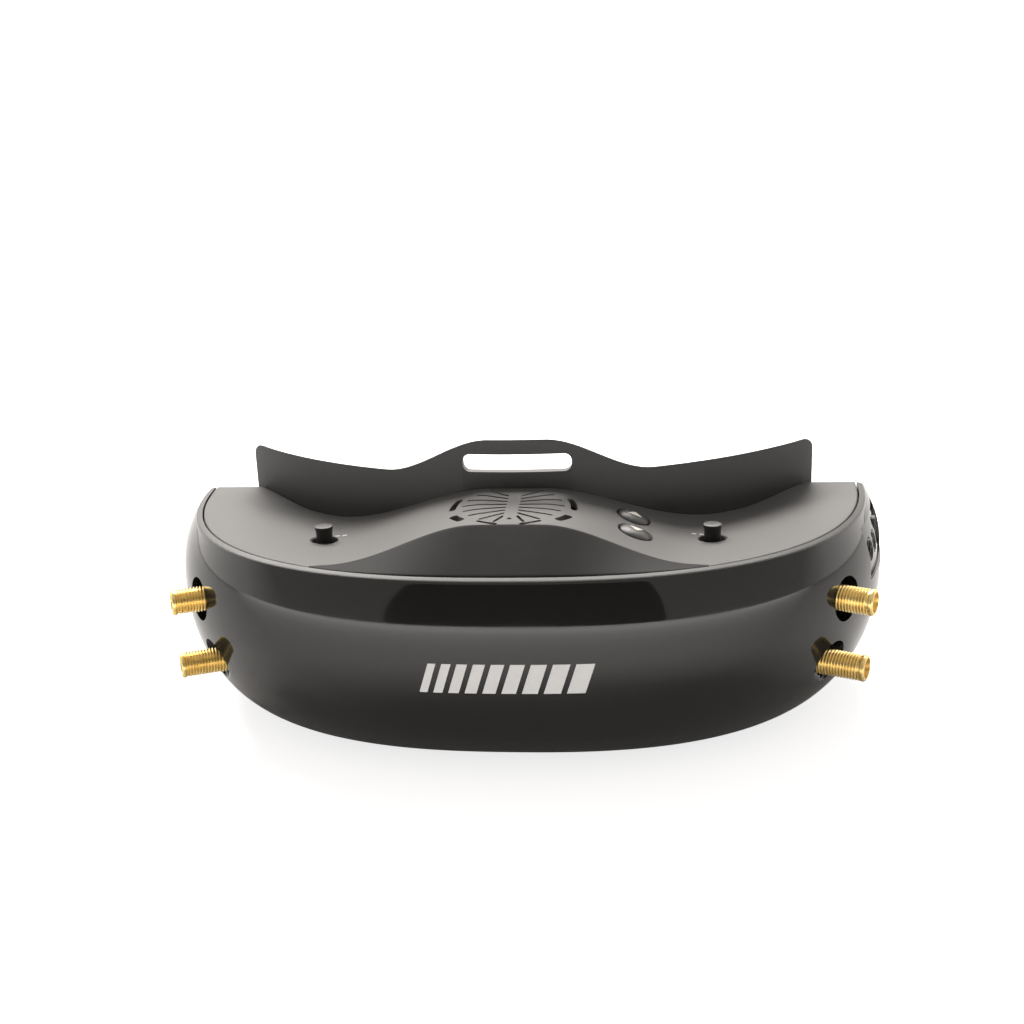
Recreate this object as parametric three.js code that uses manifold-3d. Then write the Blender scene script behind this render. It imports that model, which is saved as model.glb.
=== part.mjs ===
// First-person-view goggles: a glossy front shell wrapped round a matte top cover with a fan
// hump, two five-way joysticks, two channel buttons, four antenna connectors, and a curved
// face plate behind. Millimetres, +Z up. The front faces -Y and the wearer looks along -Y,
// so the wearer's left is +X. The origin lies under the middle of the goggles' box.
import * as THREE from 'three';
import { mergeVertices } from 'three/addons/utils/BufferGeometryUtils.js';
import Module from 'manifold-3d';

const wasm = await Module();
wasm.setup();

// ---- driving dimensions ----
const GAP = 0.3;                    // clearance between neighbouring pieces
const WALL = 2.2;                   // moulded wall of the front shell
const COVER = 2.0;                  // moulded wall of the top cover

// Seam between top cover and front shell: half a superellipse in plan.
const SEAM_A = 85.09;               // half width
const SEAM_B = 76.4;                // depth from its widest line to the front
const SEAM_POWER = 2.45;
const SEAM_BACK_Y = 47.4;           // y of its widest line
const SEAM_Z = 48.57;
const BODY_REAR_Y = 41.0;           // flat rear edge of the body's sides
const COVER_REAR_Y = 40.2;          // rear ends of the top cover's sides

// Section of the front shell, outward from the seam.
const RIM_WIDTH = 1.53;
const RIM_Z = 48.17;
const BELLY_OUT = 5.85;             // how far the widest line stands outside the seam
const BELLY_Z = 31.0;
const TUCK = 22.0;                  // how far the lower quarter ellipse tucks under
const UPPER_POWER = 2.7;
const LIP_ANGLE = 78;               // degrees round the lower ellipse where the shell ends

// Top surface: a dished deck with a hump over the fan.
const DISH = 2.4;
const DISH_WIDTH = 0.7;
const DISH_FADE = [26.0, 40.0];     // y over which the dish runs out towards the rear
const CREST_Y = -14.3;
const CREST_SWEEP = 7.0;            // how far the crest has run forward at its ends
const CREST_HALF = 45.0;
const HUMP_Z = 56.0;
const HUMP_RISE = 0.036;            // rise of the hump's top towards the back, per mm

// Face plate: a piece of a cylinder.
const PLATE_R = 100.0;
const PLATE_Y = 10.5;               // front face at the centre
const PLATE_T = 2.4;
const PLATE_HALF = 73.8;
const PLATE_LOW = 2.0;
const PLATE_TOP = 60.4;
const PLATE_SLOPE = 1.2;            // the top edge drops this much towards the back
const BROW_RISE = 8.6;              // the middle rises this much above the sides
const BROW_HALF = 33.0;             // x where the rise starts
const BROW_RUN = 26.0;
const WING_CORNER = 3.0;

// Eyes
const EYE_X = 32.0;                 // half of a 64 mm spacing between pupils
const EYE_Z = 25.5;
const EYE_HOLE_R = 16.5;
const EYE_TRAVEL = 2.5;
const BARREL_R = 12.8;

// Nose
const NOSE_HALF = 16.0;
const NOSE_TOP = 25.0;

// Joysticks, channel buttons, fan
const STICK_X = 46.5;
const STICK_Y = 2.2;
const STICK_HOLE_R = 3.25;
const BOARD_TOP = 39.8;
const BUTTONS = { channel_up: [28.0, 6.1], channel_down: [28.5, -4.0] };
const BUTTON_R = 3.8;
const FAN_Y = -3.2;
const FAN_SIZE = 25.0;
const FAN_LOW = 44.4;
const FAN_HIGH = 52.0;
const VENT_Y = -1.4;

// Antenna connectors, quarter inch 36 thread, and their round pockets
const SMA_ANGLE = 24;               // degrees forward of sideways
const SMA_TIPS = { upper: [83.4, -6.6, 33.8], lower: [81.6, -9.8, 18.8] };
const SMA_R = 3.175;
const POCKET_R = 5.4;
const POCKET_FLOOR = 11.0;          // distance from the tip to the pocket's floor

// Port panel on the wearer's left side
const PORT_Y = [11.3, 35.2];
const PORT_Z = [33.5, 46.2];
const PORT_SINK = 0.8;
const PORT_AXIS_Z = 39.9;
const PANEL_T = 1.6;
const JACK_DEPTH = 10.0;
const JACK_BORE = 8.6;              // depth of the hole for the plug
const SOCKET_DEPTH = 9.5;

// Strap slots in the face plate's ears
const STRAP_X = [77.6, 82.6];
const STRAP_Z = [11.0, 39.0];

// Screws
const BOTTOM_SCREWS = [[56, 8], [66, 28.5]];
const EAR_SCREWS = [[76.6, 5.9], [77.6, 43.2]];

const rad = THREE.MathUtils.degToRad;
const smooth = (t) => {
  const c = Math.min(1, Math.max(0, t));
  return c * c * (3 - 2 * c);
};

// ---- materials ----
const plastic = (color, roughness) => new THREE.MeshStandardMaterial({ color, roughness, metalness: 0 });
const metal = (color, roughness) => new THREE.MeshStandardMaterial({ color, roughness, metalness: 1 });
const LOOK = {
  gloss: () => plastic(0x171615, 0.12),
  matte: () => plastic(0x4a4845, 0.55),
  plate: () => plastic(0x2b2a28, 0.6),
  foam: () => plastic(0x161616, 0.95),
  black: () => plastic(0x111111, 0.5),
  button: () => plastic(0x55534f, 0.4),
  gold: () => metal(0xd9a441, 0.25),
  ptfe: () => plastic(0xe8e4da, 0.5),
  board: () => plastic(0x14402a, 0.5),
  steel: () => metal(0xb9bcc0, 0.3),
  glass: () => plastic(0xbfd0dc, 0.05),
};

// ---- solids ----
function signedVolume(positions, index) {
  let sum = 0;
  const a = new THREE.Vector3();
  const b = new THREE.Vector3();
  const c = new THREE.Vector3();
  for (let i = 0; i < index.length; i += 3) {
    a.fromArray(positions, index[i] * 3);
    b.fromArray(positions, index[i + 1] * 3);
    c.fromArray(positions, index[i + 2] * 3);
    sum += a.dot(b.cross(c));
  }
  return sum;
}

function toSolid(geometry, matrix) {
  const bare = geometry.clone();
  for (const name of Object.keys(bare.attributes)) {
    if (name !== 'position') bare.deleteAttribute(name);
  }
  if (matrix) bare.applyMatrix4(matrix);
  const merged = mergeVertices(bare, 1e-4);
  const vertProperties = Float32Array.from(merged.attributes.position.array);
  let triVerts = Uint32Array.from(merged.index.array);
  if (signedVolume(vertProperties, triVerts) < 0) triVerts = triVerts.reverse();
  return new wasm.Manifold(new wasm.Mesh({ numProp: 3, vertProperties, triVerts }));
}

function toGeometry(solid) {
  const mesh = solid.getMesh();
  const geometry = new THREE.BufferGeometry();
  geometry.setAttribute('position', new THREE.BufferAttribute(Float32Array.from(mesh.vertProperties), 3));
  geometry.setIndex(new THREE.BufferAttribute(Uint32Array.from(mesh.triVerts), 1));
  return geometry;
}

const join = (...solids) => solids.reduce((a, b) => a.add(b));
const cut = (solid, ...tools) => tools.reduce((a, b) => a.subtract(b), solid);

function box(x, y, z) {
  const geometry = new THREE.BoxGeometry(x[1] - x[0], y[1] - y[0], z[1] - z[0]);
  const middle = [x, y, z].map(([low, high]) => (low + high) / 2);
  return toSolid(geometry, new THREE.Matrix4().makeTranslation(...middle));
}

// A solid of revolution: profile is [radius, height] pairs, and height runs along axis from origin.
function turned(profile, origin, axis, sides) {
  const geometry = new THREE.LatheGeometry(profile.map(([r, h]) => new THREE.Vector2(r, h)), sides);
  const along = new THREE.Vector3(...axis).normalize();
  const turn = new THREE.Quaternion().setFromUnitVectors(new THREE.Vector3(0, 1, 0), along);
  const size = new THREE.Vector3(1, 1, 1);
  return toSolid(geometry, new THREE.Matrix4().compose(new THREE.Vector3(...origin), turn, size));
}

const rod = (r, from, to, origin, axis, sides) => turned(
  [[0, from], [r, from], [r, to], [0, to]], origin, axis, sides);

const tube = (r, bore, from, to, origin, axis, sides) => turned(
  [[bore, from], [r, from], [r, to], [bore, to], [bore, from]], origin, axis, sides);

// A closed solid between two grids of points, front(i, j) and back(i, j).
function slab(columns, rows, front, back) {
  const positions = [];
  const index = [];
  const side = (columns + 1) * (rows + 1);
  for (const face of [front, back]) {
    for (let i = 0; i <= columns; i++) {
      for (let j = 0; j <= rows; j++) positions.push(...face(i, j));
    }
  }
  const at = (k, i, j) => k * side + i * (rows + 1) + j;
  const quad = (a, b, c, d) => index.push(a, b, c, a, c, d);
  for (let i = 0; i < columns; i++) {
    for (let j = 0; j < rows; j++) {
      quad(at(0, i, j), at(0, i + 1, j), at(0, i + 1, j + 1), at(0, i, j + 1));
      quad(at(1, i, j), at(1, i, j + 1), at(1, i + 1, j + 1), at(1, i + 1, j));
    }
  }
  for (let i = 0; i < columns; i++) {
    quad(at(0, i, 0), at(1, i, 0), at(1, i + 1, 0), at(0, i + 1, 0));
    quad(at(0, i, rows), at(0, i + 1, rows), at(1, i + 1, rows), at(1, i, rows));
  }
  for (let j = 0; j < rows; j++) {
    quad(at(0, 0, j), at(0, 0, j + 1), at(1, 0, j + 1), at(1, 0, j));
    quad(at(0, columns, j), at(1, columns, j), at(1, columns, j + 1), at(0, columns, j + 1));
  }
  const geometry = new THREE.BufferGeometry();
  geometry.setAttribute('position', new THREE.Float32BufferAttribute(positions, 3));
  geometry.setIndex(index);
  return toSolid(geometry);
}

// A closed solid through a row of like sections. flat is one section in its own plane, for the caps.
function loft(sections, flat) {
  const size = flat.length;
  const positions = sections.flat(2);
  const index = [];
  for (let s = 0; s < sections.length - 1; s++) {
    for (let k = 0; k < size; k++) {
      const a = s * size + k;
      const b = s * size + (k + 1) % size;
      index.push(a, b, b + size, a, b + size, a + size);
    }
  }
  const caps = THREE.ShapeUtils.triangulateShape(flat.map(([u, v]) => new THREE.Vector2(u, v)), []);
  const clockwise = THREE.ShapeUtils.isClockWise(flat.map(([u, v]) => new THREE.Vector2(u, v)));
  const last = (sections.length - 1) * size;
  for (const [a, b, c] of caps) {
    index.push(...(clockwise ? [a, b, c] : [c, b, a]));
    index.push(...(clockwise ? [last + c, last + b, last + a] : [last + a, last + b, last + c]));
  }
  const geometry = new THREE.BufferGeometry();
  geometry.setAttribute('position', new THREE.Float32BufferAttribute(positions, 3));
  geometry.setIndex(index);
  return toSolid(geometry);
}

// An outline in X and Z, extruded along Y.
function alongY(points, y) {
  const shape = new THREE.Shape(points.map(([u, v]) => new THREE.Vector2(u, v)));
  const geometry = new THREE.ExtrudeGeometry(shape, { depth: y[1] - y[0], bevelEnabled: false });
  const stand = new THREE.Matrix4().makeBasis(
    new THREE.Vector3(1, 0, 0), new THREE.Vector3(0, 0, 1), new THREE.Vector3(0, -1, 0));
  return toSolid(geometry, stand.setPosition(0, y[1], 0));
}

// An outline in X and Y, extruded along Z.
function alongZ(points, z) {
  const shape = new THREE.Shape(points.map(([u, v]) => new THREE.Vector2(u, v)));
  const geometry = new THREE.ExtrudeGeometry(shape, { depth: z[1] - z[0], bevelEnabled: false });
  return toSolid(geometry, new THREE.Matrix4().makeTranslation(0, 0, z[0]));
}

// Points of a rectangle with round corners.
function roundedBox(cx, cy, w, h, r, steps) {
  const points = [];
  const corners = [[1, 1, 0], [-1, 1, 90], [-1, -1, 180], [1, -1, 270]];
  for (const [sx, sy, start] of corners) {
    for (let k = 0; k <= steps; k++) {
      const angle = rad(start + 90 * k / steps);
      points.push([
        cx + sx * (w / 2 - r) + r * Math.cos(angle),
        cy + sy * (h / 2 - r) + r * Math.sin(angle),
      ]);
    }
  }
  return points;
}

const parts = new Map();
const put = (name, solid, material) => parts.set(name, { solid, material });

// ---- the seam and the shell's section ----
// The seam at angle t from the front: its point and outward direction in plan.
function seam(t) {
  const s = Math.sin(t);
  const c = Math.cos(t);
  const x = SEAM_A * Math.sign(s) * Math.abs(s) ** (2 / SEAM_POWER);
  const y = SEAM_BACK_Y - SEAM_B * Math.abs(c) ** (2 / SEAM_POWER);
  const nx = Math.sign(x) * Math.abs(x / SEAM_A) ** (SEAM_POWER - 1) / SEAM_A;
  const ny = -(((SEAM_BACK_Y - y) / SEAM_B) ** (SEAM_POWER - 1)) / SEAM_B;
  const length = Math.hypot(nx, ny);
  return { x, y, nx: nx / length, ny: ny / length };
}

// The angle t at which the seam reaches a given y on the +X side.
const seamAngle = (y) => Math.acos(((SEAM_BACK_Y - y) / SEAM_B) ** (SEAM_POWER / 2));

function seamY(x, inset = 0) {
  const u = Math.min(1, Math.abs(x) / (SEAM_A - inset));
  return SEAM_BACK_Y - (SEAM_B - inset) * (1 - u ** SEAM_POWER) ** (1 / SEAM_POWER);
}

const seamPoint = (t, d, z) => {
  const p = seam(t);
  return [p.x + d * p.nx, p.y + d * p.ny, z];
};

// How far the shell's outer face stands outside the seam at height z.
function bulge(z) {
  if (z >= BELLY_Z) {
    const u = (z - BELLY_Z) / (RIM_Z - BELLY_Z);
    return BELLY_OUT - (BELLY_OUT - RIM_WIDTH) * u ** UPPER_POWER;
  }
  const u = (BELLY_Z - z) / BELLY_Z;
  return BELLY_OUT - TUCK * (1 - Math.sqrt(Math.max(0, 1 - u * u)));
}

const UPPER_HEIGHTS = [45.6, 42, 37];
const LOWER_ANGLES = [0, 22, 40, 55, 68, LIP_ANGLE];
const SHELL_STEPS = 34;

function lowerEllipse(degrees, inset) {
  const a = rad(degrees);
  return [
    BELLY_OUT - inset - (TUCK - inset) * (1 - Math.cos(a)),
    BELLY_Z - (BELLY_Z - inset) * Math.sin(a),
  ];
}

function shellSection(inset, wall) {
  const outer = UPPER_HEIGHTS.map((z) => [bulge(z) - inset, z]);
  const inner = UPPER_HEIGHTS.slice(1).map((z) => [bulge(z) - wall, z]);
  return [
    [0, SEAM_Z],
    [RIM_WIDTH - inset, RIM_Z],
    ...outer,
    ...LOWER_ANGLES.map((a) => lowerEllipse(a, inset)),
    ...LOWER_ANGLES.map((a) => lowerEllipse(a, wall)).reverse(),
    ...inner.reverse(),
    [0, SEAM_Z - 2.9],
  ];
}

const SIDE_LIMIT = seamAngle(43.6);

function alongSeam(section, from, to, steps) {
  const sections = [];
  for (let i = 0; i <= steps; i++) {
    const t = from + (to - from) * i / steps;
    sections.push(section.map(([d, z]) => seamPoint(t, d, z)));
  }
  return loft(sections, section);
}

// ---- antenna connectors ----
const smaPlaces = [];
for (const [height, tip] of Object.entries(SMA_TIPS)) {
  for (const [hand, sign] of [['left', 1], ['right', -1]]) {
    const out = [sign * Math.cos(rad(SMA_ANGLE)), -Math.sin(rad(SMA_ANGLE)), 0];
    smaPlaces.push({ name: `${height}_${hand}`, tip: [sign * tip[0], tip[1], tip[2]], out });
  }
}

function buildAntennaConnectors() {
  for (const { name, tip, out } of smaPlaces) {
    const barrel = [
      [2.35, 0], [2.75, 0], [SMA_R, -0.5], [SMA_R, -POCKET_FLOOR - 2.1],
      [3.4, -POCKET_FLOOR - 2.1], [3.4, -POCKET_FLOOR - 4.4], [2.35, -POCKET_FLOOR - 4.4], [2.35, 0],
    ];
    put(`sma_barrel_${name}`, turned(barrel, tip, out, 16), LOOK.gold());
    put(`sma_insulator_${name}`, tube(2.05, 0.95, -14.6, -1.9, tip, out, 12), LOOK.ptfe());
    put(`sma_contact_${name}`, rod(0.64, -17.2, -1.7, tip, out, 8), LOOK.gold());
  }
}

// ---- front shell ----
function buildFrontShell() {
  const section = shellSection(0, WALL);
  let shell = alongSeam(section, -SIDE_LIMIT, SIDE_LIMIT, SHELL_STEPS);

  // Everything inside the outer face, to trim bosses and pockets against it.
  const core = [
    [-24, SEAM_Z - 3], [1.0, SEAM_Z - 3],
    ...UPPER_HEIGHTS.slice(1).map((z) => [bulge(z) - 0.6, z]),
    ...LOWER_ANGLES.map((a) => lowerEllipse(a, 0.6)),
    [-24, 2.4],
  ];
  const filled = alongSeam(core, -SIDE_LIMIT, SIDE_LIMIT, SHELL_STEPS);

  const added = [];
  const removed = [];
  for (const { tip, out } of smaPlaces) {
    added.push(rod(POCKET_R + 1.3, -POCKET_FLOOR - 1.6, -2, tip, out, 20));
    removed.push(rod(POCKET_R, -POCKET_FLOOR, 4, tip, out, 20));
    removed.push(rod(SMA_R + GAP, -POCKET_FLOOR - 3, 0, tip, out, 16));
  }
  for (const sign of [1, -1]) {
    const span = (a, b) => (sign > 0 ? [a, b] : [-b, -a]);
    const [lower, upper] = EAR_SCREWS;
    added.push(rod(3.2, 0, 8, [sign * lower[0], 33, lower[1]], [0, 1, 0], 12));
    added.push(rod(2.8, 0, 7, [sign * upper[0], 34, upper[1]], [0, 1, 0], 12));
    added.push(box(span(upper[0] + 1, 88), [34.4, 40.6], [upper[1] - 2.2, upper[1] - 0.4]));
    for (const [x, z] of EAR_SCREWS) removed.push(rod(1.5, -6.4, 1, [sign * x, 41, z], [0, 1, 0], 10));
    // Wall that closes the side and leaves a pocket for the strap behind it.
    added.push(box(span(73, 92), [34.8, 36.2], [3, 46]));
    // Rib that carries the ends of the lens rails.
    added.push(box(span(51, 54), [-26, -8.5], [10.6, 38.2]));
    for (const z of RAIL_Z) removed.push(rod(1.5, 48, 56, [0, RAIL_Y, z], [sign, 0, 0], 10));
    // Notch that lets the strap round the ear.
    removed.push(box(span(79, 95), [37.2, 50], [STRAP_Z[0] - 1, STRAP_Z[1] + 1]));
  }
  shell = join(shell, ...added.map((piece) => piece.intersect(filled)));

  const from = seamAngle(PORT_Y[0]);
  const to = seamAngle(PORT_Y[1]);
  const window = [[-3, PORT_Z[0]], [9, PORT_Z[0]], [9, PORT_Z[1]], [-3, PORT_Z[1]]];
  removed.push(alongSeam(window, from, to, 6));
  for (const { face, width, height } of Object.values(SOCKETS)) {
    if (face.sign < 0) removed.push(face.block(width / 2 + GAP, height / 2 + GAP, -9, 4));
  }
  removed.push(box([-120, 120], [BODY_REAR_Y, 90], [-5, 60]));
  put('front_shell', cut(shell, ...removed), LOOK.gloss());
}

// ---- ports ----
// A place on the body's side: a point on the outer face, its outward direction, and blocks
// laid out from it along the surface (half width, half height) and outwards (from, to).
function sidePlace(sign, y, z, sink) {
  const t = sign * seamAngle(y);
  const { nx, ny } = seam(t);
  const origin = seamPoint(t, bulge(z) - sink, z);
  const out = [nx, ny, 0];
  const basis = new THREE.Matrix4().makeBasis(
    new THREE.Vector3(-ny, nx, 0), new THREE.Vector3(0, 0, 1), new THREE.Vector3(nx, ny, 0));
  if (basis.determinant() < 0) basis.scale(new THREE.Vector3(-1, 1, 1));
  const block = (halfWidth, halfHeight, low, high) => {
    const geometry = new THREE.BoxGeometry(2 * halfWidth, 2 * halfHeight, high - low);
    geometry.translate(0, 0, (low + high) / 2);
    return toSolid(geometry, basis.clone().setPosition(...origin));
  };
  return { sign, origin, out, block };
}

const JACKS = {
  dc_jack: { y: 28.6, r: 3.6, bore: 2.8, pin: 1.0 },
  av_jack: { y: 21.3, r: 2.3, bore: 1.75, pin: 0 },
  earphone_jack: { y: 15.5, r: 2.3, bore: 1.75, pin: 0 },
};

const SOCKETS = {
  hdmi_socket: { face: sidePlace(-1, 26, 40.2, 0), width: 11.2, height: 3.4, mouth: [9.8, 2.2] },
  card_socket: { face: sidePlace(-1, 26, 31.5, 0), width: 13.2, height: 2.4, mouth: [11.4, 1.1] },
};

function buildPorts() {
  const panelHeights = [PORT_Z[0] + GAP, 38, 42, PORT_Z[1] - GAP];
  const outer = panelHeights.map((z) => [bulge(z) - PORT_SINK, z]);
  const inner = panelHeights.map((z) => [bulge(z) - PORT_SINK - PANEL_T, z]).reverse();
  const section = [...outer, ...inner];
  let panel = alongSeam(section, seamAngle(PORT_Y[0] + GAP), seamAngle(PORT_Y[1] - GAP), 6);
  for (const [name, { y, r, bore, pin }] of Object.entries(JACKS)) {
    const { origin, out } = sidePlace(1, y, PORT_AXIS_Z, PORT_SINK);
    panel = cut(panel, rod(r + GAP, -8, 4, origin, out, 20));
    const wall = [[0, -JACK_DEPTH], [r, -JACK_DEPTH], [r, -0.2], [bore, -0.2], [bore, -JACK_BORE]];
    const profile = pin > 0
      ? [...wall, [pin, -JACK_BORE], [pin, -1.2], [0, -1.2]]
      : [...wall, [0, -JACK_BORE]];
    put(name, turned(profile, origin, out, 16), LOOK.black());
  }
  put('port_panel', panel, LOOK.plate());
  for (const [name, { face, width, height, mouth }] of Object.entries(SOCKETS)) {
    const body = face.block(width / 2, height / 2, -SOCKET_DEPTH, -PORT_SINK);
    put(name, cut(body, face.block(mouth[0] / 2, mouth[1] / 2, -8, 1)), LOOK.steel());
  }
}

// ---- top cover ----
function humpShare(x, y) {
  const reach = 45.3 + 0.207 * y;
  const flank = 38.6 + 0.287 * y;
  return smooth((reach - Math.abs(x)) / flank);
}

function deck(x, y) {
  const e = Math.abs(x / SEAM_A) ** SEAM_POWER + Math.abs((SEAM_BACK_Y - y) / SEAM_B) ** SEAM_POWER;
  const kept = 1 - smooth((y - DISH_FADE[0]) / (DISH_FADE[1] - DISH_FADE[0]));
  return SEAM_Z - DISH * kept * smooth((1 - e) / DISH_WIDTH);
}

function behindCrest(x, y) {
  const low = deck(x, y);
  return low + (HUMP_Z + HUMP_RISE * (y - CREST_Y) - low) * humpShare(x, y);
}

const crestY = (x) => CREST_Y - CREST_SWEEP * Math.min(1, Math.abs(x) / CREST_HALF) ** 2;

// Height of the outer face of the top cover.
function coverZ(x, y) {
  const crest = crestY(x);
  if (Math.abs(x) >= CREST_HALF || y >= crest) return behindCrest(x, y);
  const front = seamY(x, GAP);
  const share = Math.max(0, (y - front) / (crest - front));
  return SEAM_Z + (behindCrest(x, crest) - SEAM_Z) * share;
}

function coverNormal(x, y) {
  const h = 0.5;
  const dx = (coverZ(x + h, y) - coverZ(x - h, y)) / (2 * h);
  const dy = (coverZ(x, y + h) - coverZ(x, y - h)) / (2 * h);
  return new THREE.Vector3(-dx, -dy, 1).normalize();
}

const plateY = (x, r = PLATE_R) => PLATE_Y + PLATE_R - Math.sqrt(r * r - x * x);
const rearEdge = (x) => Math.min(plateY(x), BODY_REAR_Y + GAP) - GAP;

const buttonPlaces = Object.entries(BUTTONS).map(([name, [x, y]]) => (
  { name, origin: [x, y, coverZ(x, y)], out: coverNormal(x, y).toArray() }));

// The slots of the fan grille: thin ones fanning out from a spine, and short arcs round them.
function ventSlots() {
  const slots = [];
  for (const sign of [1, -1]) {
    for (let k = 0; k < 8; k++) {
      const angle = rad(57.5 - 18.7 * k);
      const inner = [1.5, VENT_Y + 6.3 - 2.0 * k];
      const outer = [12.0 * Math.cos(angle), VENT_Y + 12.0 * Math.sin(angle)];
      const along = Math.atan2(outer[1] - inner[1], outer[0] - inner[0]);
      const w = 0.32;
      const nx = -Math.sin(along) * w;
      const ny = Math.cos(along) * w;
      const outline = [
        [inner[0] + nx, inner[1] + ny], [inner[0] - nx, inner[1] - ny],
        [outer[0] - nx, outer[1] - ny], [outer[0] + nx, outer[1] + ny],
      ].map(([x, y]) => [sign * x, y]);
      slots.push(alongZ(outline, [46, 60]));
    }
    for (const [from, to, r, w] of [[-5, 25, 14.3, 0.8], [-42, -22, 14.6, 1.0], [-79, -55, 12.9, 0.5]]) {
      const outline = [];
      for (let k = 0; k <= 3; k++) {
        const a = rad(from + (to - from) * k / 3);
        outline.push([sign * (r + w) * Math.cos(a), VENT_Y + (r + w) * Math.sin(a)]);
      }
      for (let k = 3; k >= 0; k--) {
        const a = rad(from + (to - from) * k / 3);
        outline.push([sign * (r - w) * Math.cos(a), VENT_Y + (r - w) * Math.sin(a)]);
      }
      slots.push(alongZ(outline, [46, 60]));
    }
  }
  return slots;
}

function buildTopCover() {
  const columns = 38;
  const frontRows = 2;
  const rows = 10;
  const depth = (SEAM_BACK_Y - COVER_REAR_Y) / (SEAM_B - GAP);
  const halfWidth = (SEAM_A - GAP) * (1 - depth ** SEAM_POWER) ** (1 / SEAM_POWER);
  const place = (i, j) => {
    const x = halfWidth * Math.sin(rad(-90 + 180 * i / columns));
    const front = seamY(x, GAP);
    const rear = rearEdge(x);
    const bend = Math.min(Math.max(crestY(x), front + 0.3), front + 0.5 * (rear - front));
    const y = j <= frontRows
      ? front + (bend - front) * j / frontRows
      : bend + (rear - bend) * (j - frontRows) / (rows - frontRows);
    return [x, y, coverZ(x, y)];
  };
  let cover = slab(columns, rows, place, (i, j) => {
    const [x, y, z] = place(i, j);
    return [x, y, z - COVER];
  });
  const posts = [];
  const removed = ventSlots();
  removed.push(rod(0.55, 50, 60, [0, VENT_Y - 9.3, 0], [0, 0, 1], 8));
  for (const sign of [1, -1]) {
    for (const [x, y] of BOTTOM_SCREWS) {
      posts.push(rod(3.0, 2.7, coverZ(x, y) - 1.0, [sign * x, y, 0], [0, 0, 1], 12));
      removed.push(rod(1.5, 1, 12, [sign * x, y, 0], [0, 0, 1], 10));
    }
    removed.push(rod(STICK_HOLE_R, 40, 60, [sign * STICK_X, STICK_Y, 0], [0, 0, 1], 20));
  }
  for (const { origin, out } of buttonPlaces) removed.push(rod(BUTTON_R + 0.35, -6, 6, origin, out, 20));
  cover = cut(join(cover, ...posts), ...removed);
  put('top_cover', cover, LOOK.matte());
}

// ---- bottom cover with the nose recess ----
function noseArch(extra, y, foot, scale) {
  const outline = [];
  const steps = 12;
  for (let k = 0; k <= steps; k++) {
    const a = Math.PI * k / steps;
    outline.push([(NOSE_HALF * scale + extra) * Math.cos(a), (NOSE_TOP * scale + extra) * Math.sin(a)]);
  }
  outline[0][1] = foot;
  outline[steps][1] = foot;
  return outline.map(([x, z]) => [x, y, z]);
}

function buildBottomCover() {
  const columns = 34;
  const edge = [[-12.3, 0.57], [-14.2, 0.13], [-16.15, 0]];
  const limit = seamAngle(40.1);
  const place = (i, j) => {
    const t = -limit + 2 * limit * i / columns;
    if (j < edge.length) return seamPoint(t, edge[j][0], edge[j][1]);
    return [seamPoint(t, edge[2][0], 0)[0], BODY_REAR_Y - GAP, 0];
  };
  let cover = slab(columns, edge.length, place, (i, j) => {
    const [x, y] = place(i, j);
    return [x, y, 2.4];
  });
  const flat = noseArch(1.8, 0, 0, 1).map(([x, , z]) => [x, z]);
  const hood = loft([noseArch(1.8, 10.0, 0, 1), noseArch(1.8, -8.8, 0, 0.6)], flat);
  const hollow = loft([noseArch(0, 14.0, -2, 1.12), noseArch(0, -7.0, -2, 0.6)], flat);
  cover = join(cover, hood);
  const behindPlate = rod(PLATE_R + GAP, -5, 5, [0, PLATE_Y + PLATE_R, 0], [0, 0, 1], 160);
  const removed = [hollow, behindPlate];
  for (const sign of [1, -1]) {
    for (const [x, y] of BOTTOM_SCREWS) {
      removed.push(rod(2.8, -1, 1.3, [sign * x, y, 0], [0, 0, 1], 14));
      removed.push(rod(1.5, -1, 4, [sign * x, y, 0], [0, 0, 1], 10));
    }
    const middle = sign * EYE_X;
    const half = 2.5 + EYE_TRAVEL + 0.6;
    removed.push(box([middle - half, middle + half], [-2.5, 2.5], [-1, 4]));
  }
  put('bottom_cover', cut(cover, ...removed), LOOK.plate());
}

// ---- face plate and foam ----
function plateTop(x) {
  const u = Math.abs(x);
  const brow = BROW_RISE * smooth((BROW_HALF - u) / BROW_RUN);
  return PLATE_TOP + brow - wingCorner(x);
}

// How far the plate's top and bottom edges have come in where a wing's corner rounds off.
function wingCorner(x) {
  const over = Math.max(0, Math.abs(x) - (PLATE_HALF - WING_CORNER));
  return WING_CORNER - Math.sqrt(Math.max(0, WING_CORNER ** 2 - over ** 2));
}

function earOutline(sign) {
  const heights = [2.6, 5, 9, 14, 20, 28, 36, 42, 46.4];
  const outline = heights.map((z) => [sign * (SEAM_A + bulge(z) - 2.0), z]);
  return [[sign * 71, heights[0]], ...outline, [sign * 71, heights.at(-1)]];
}

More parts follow.
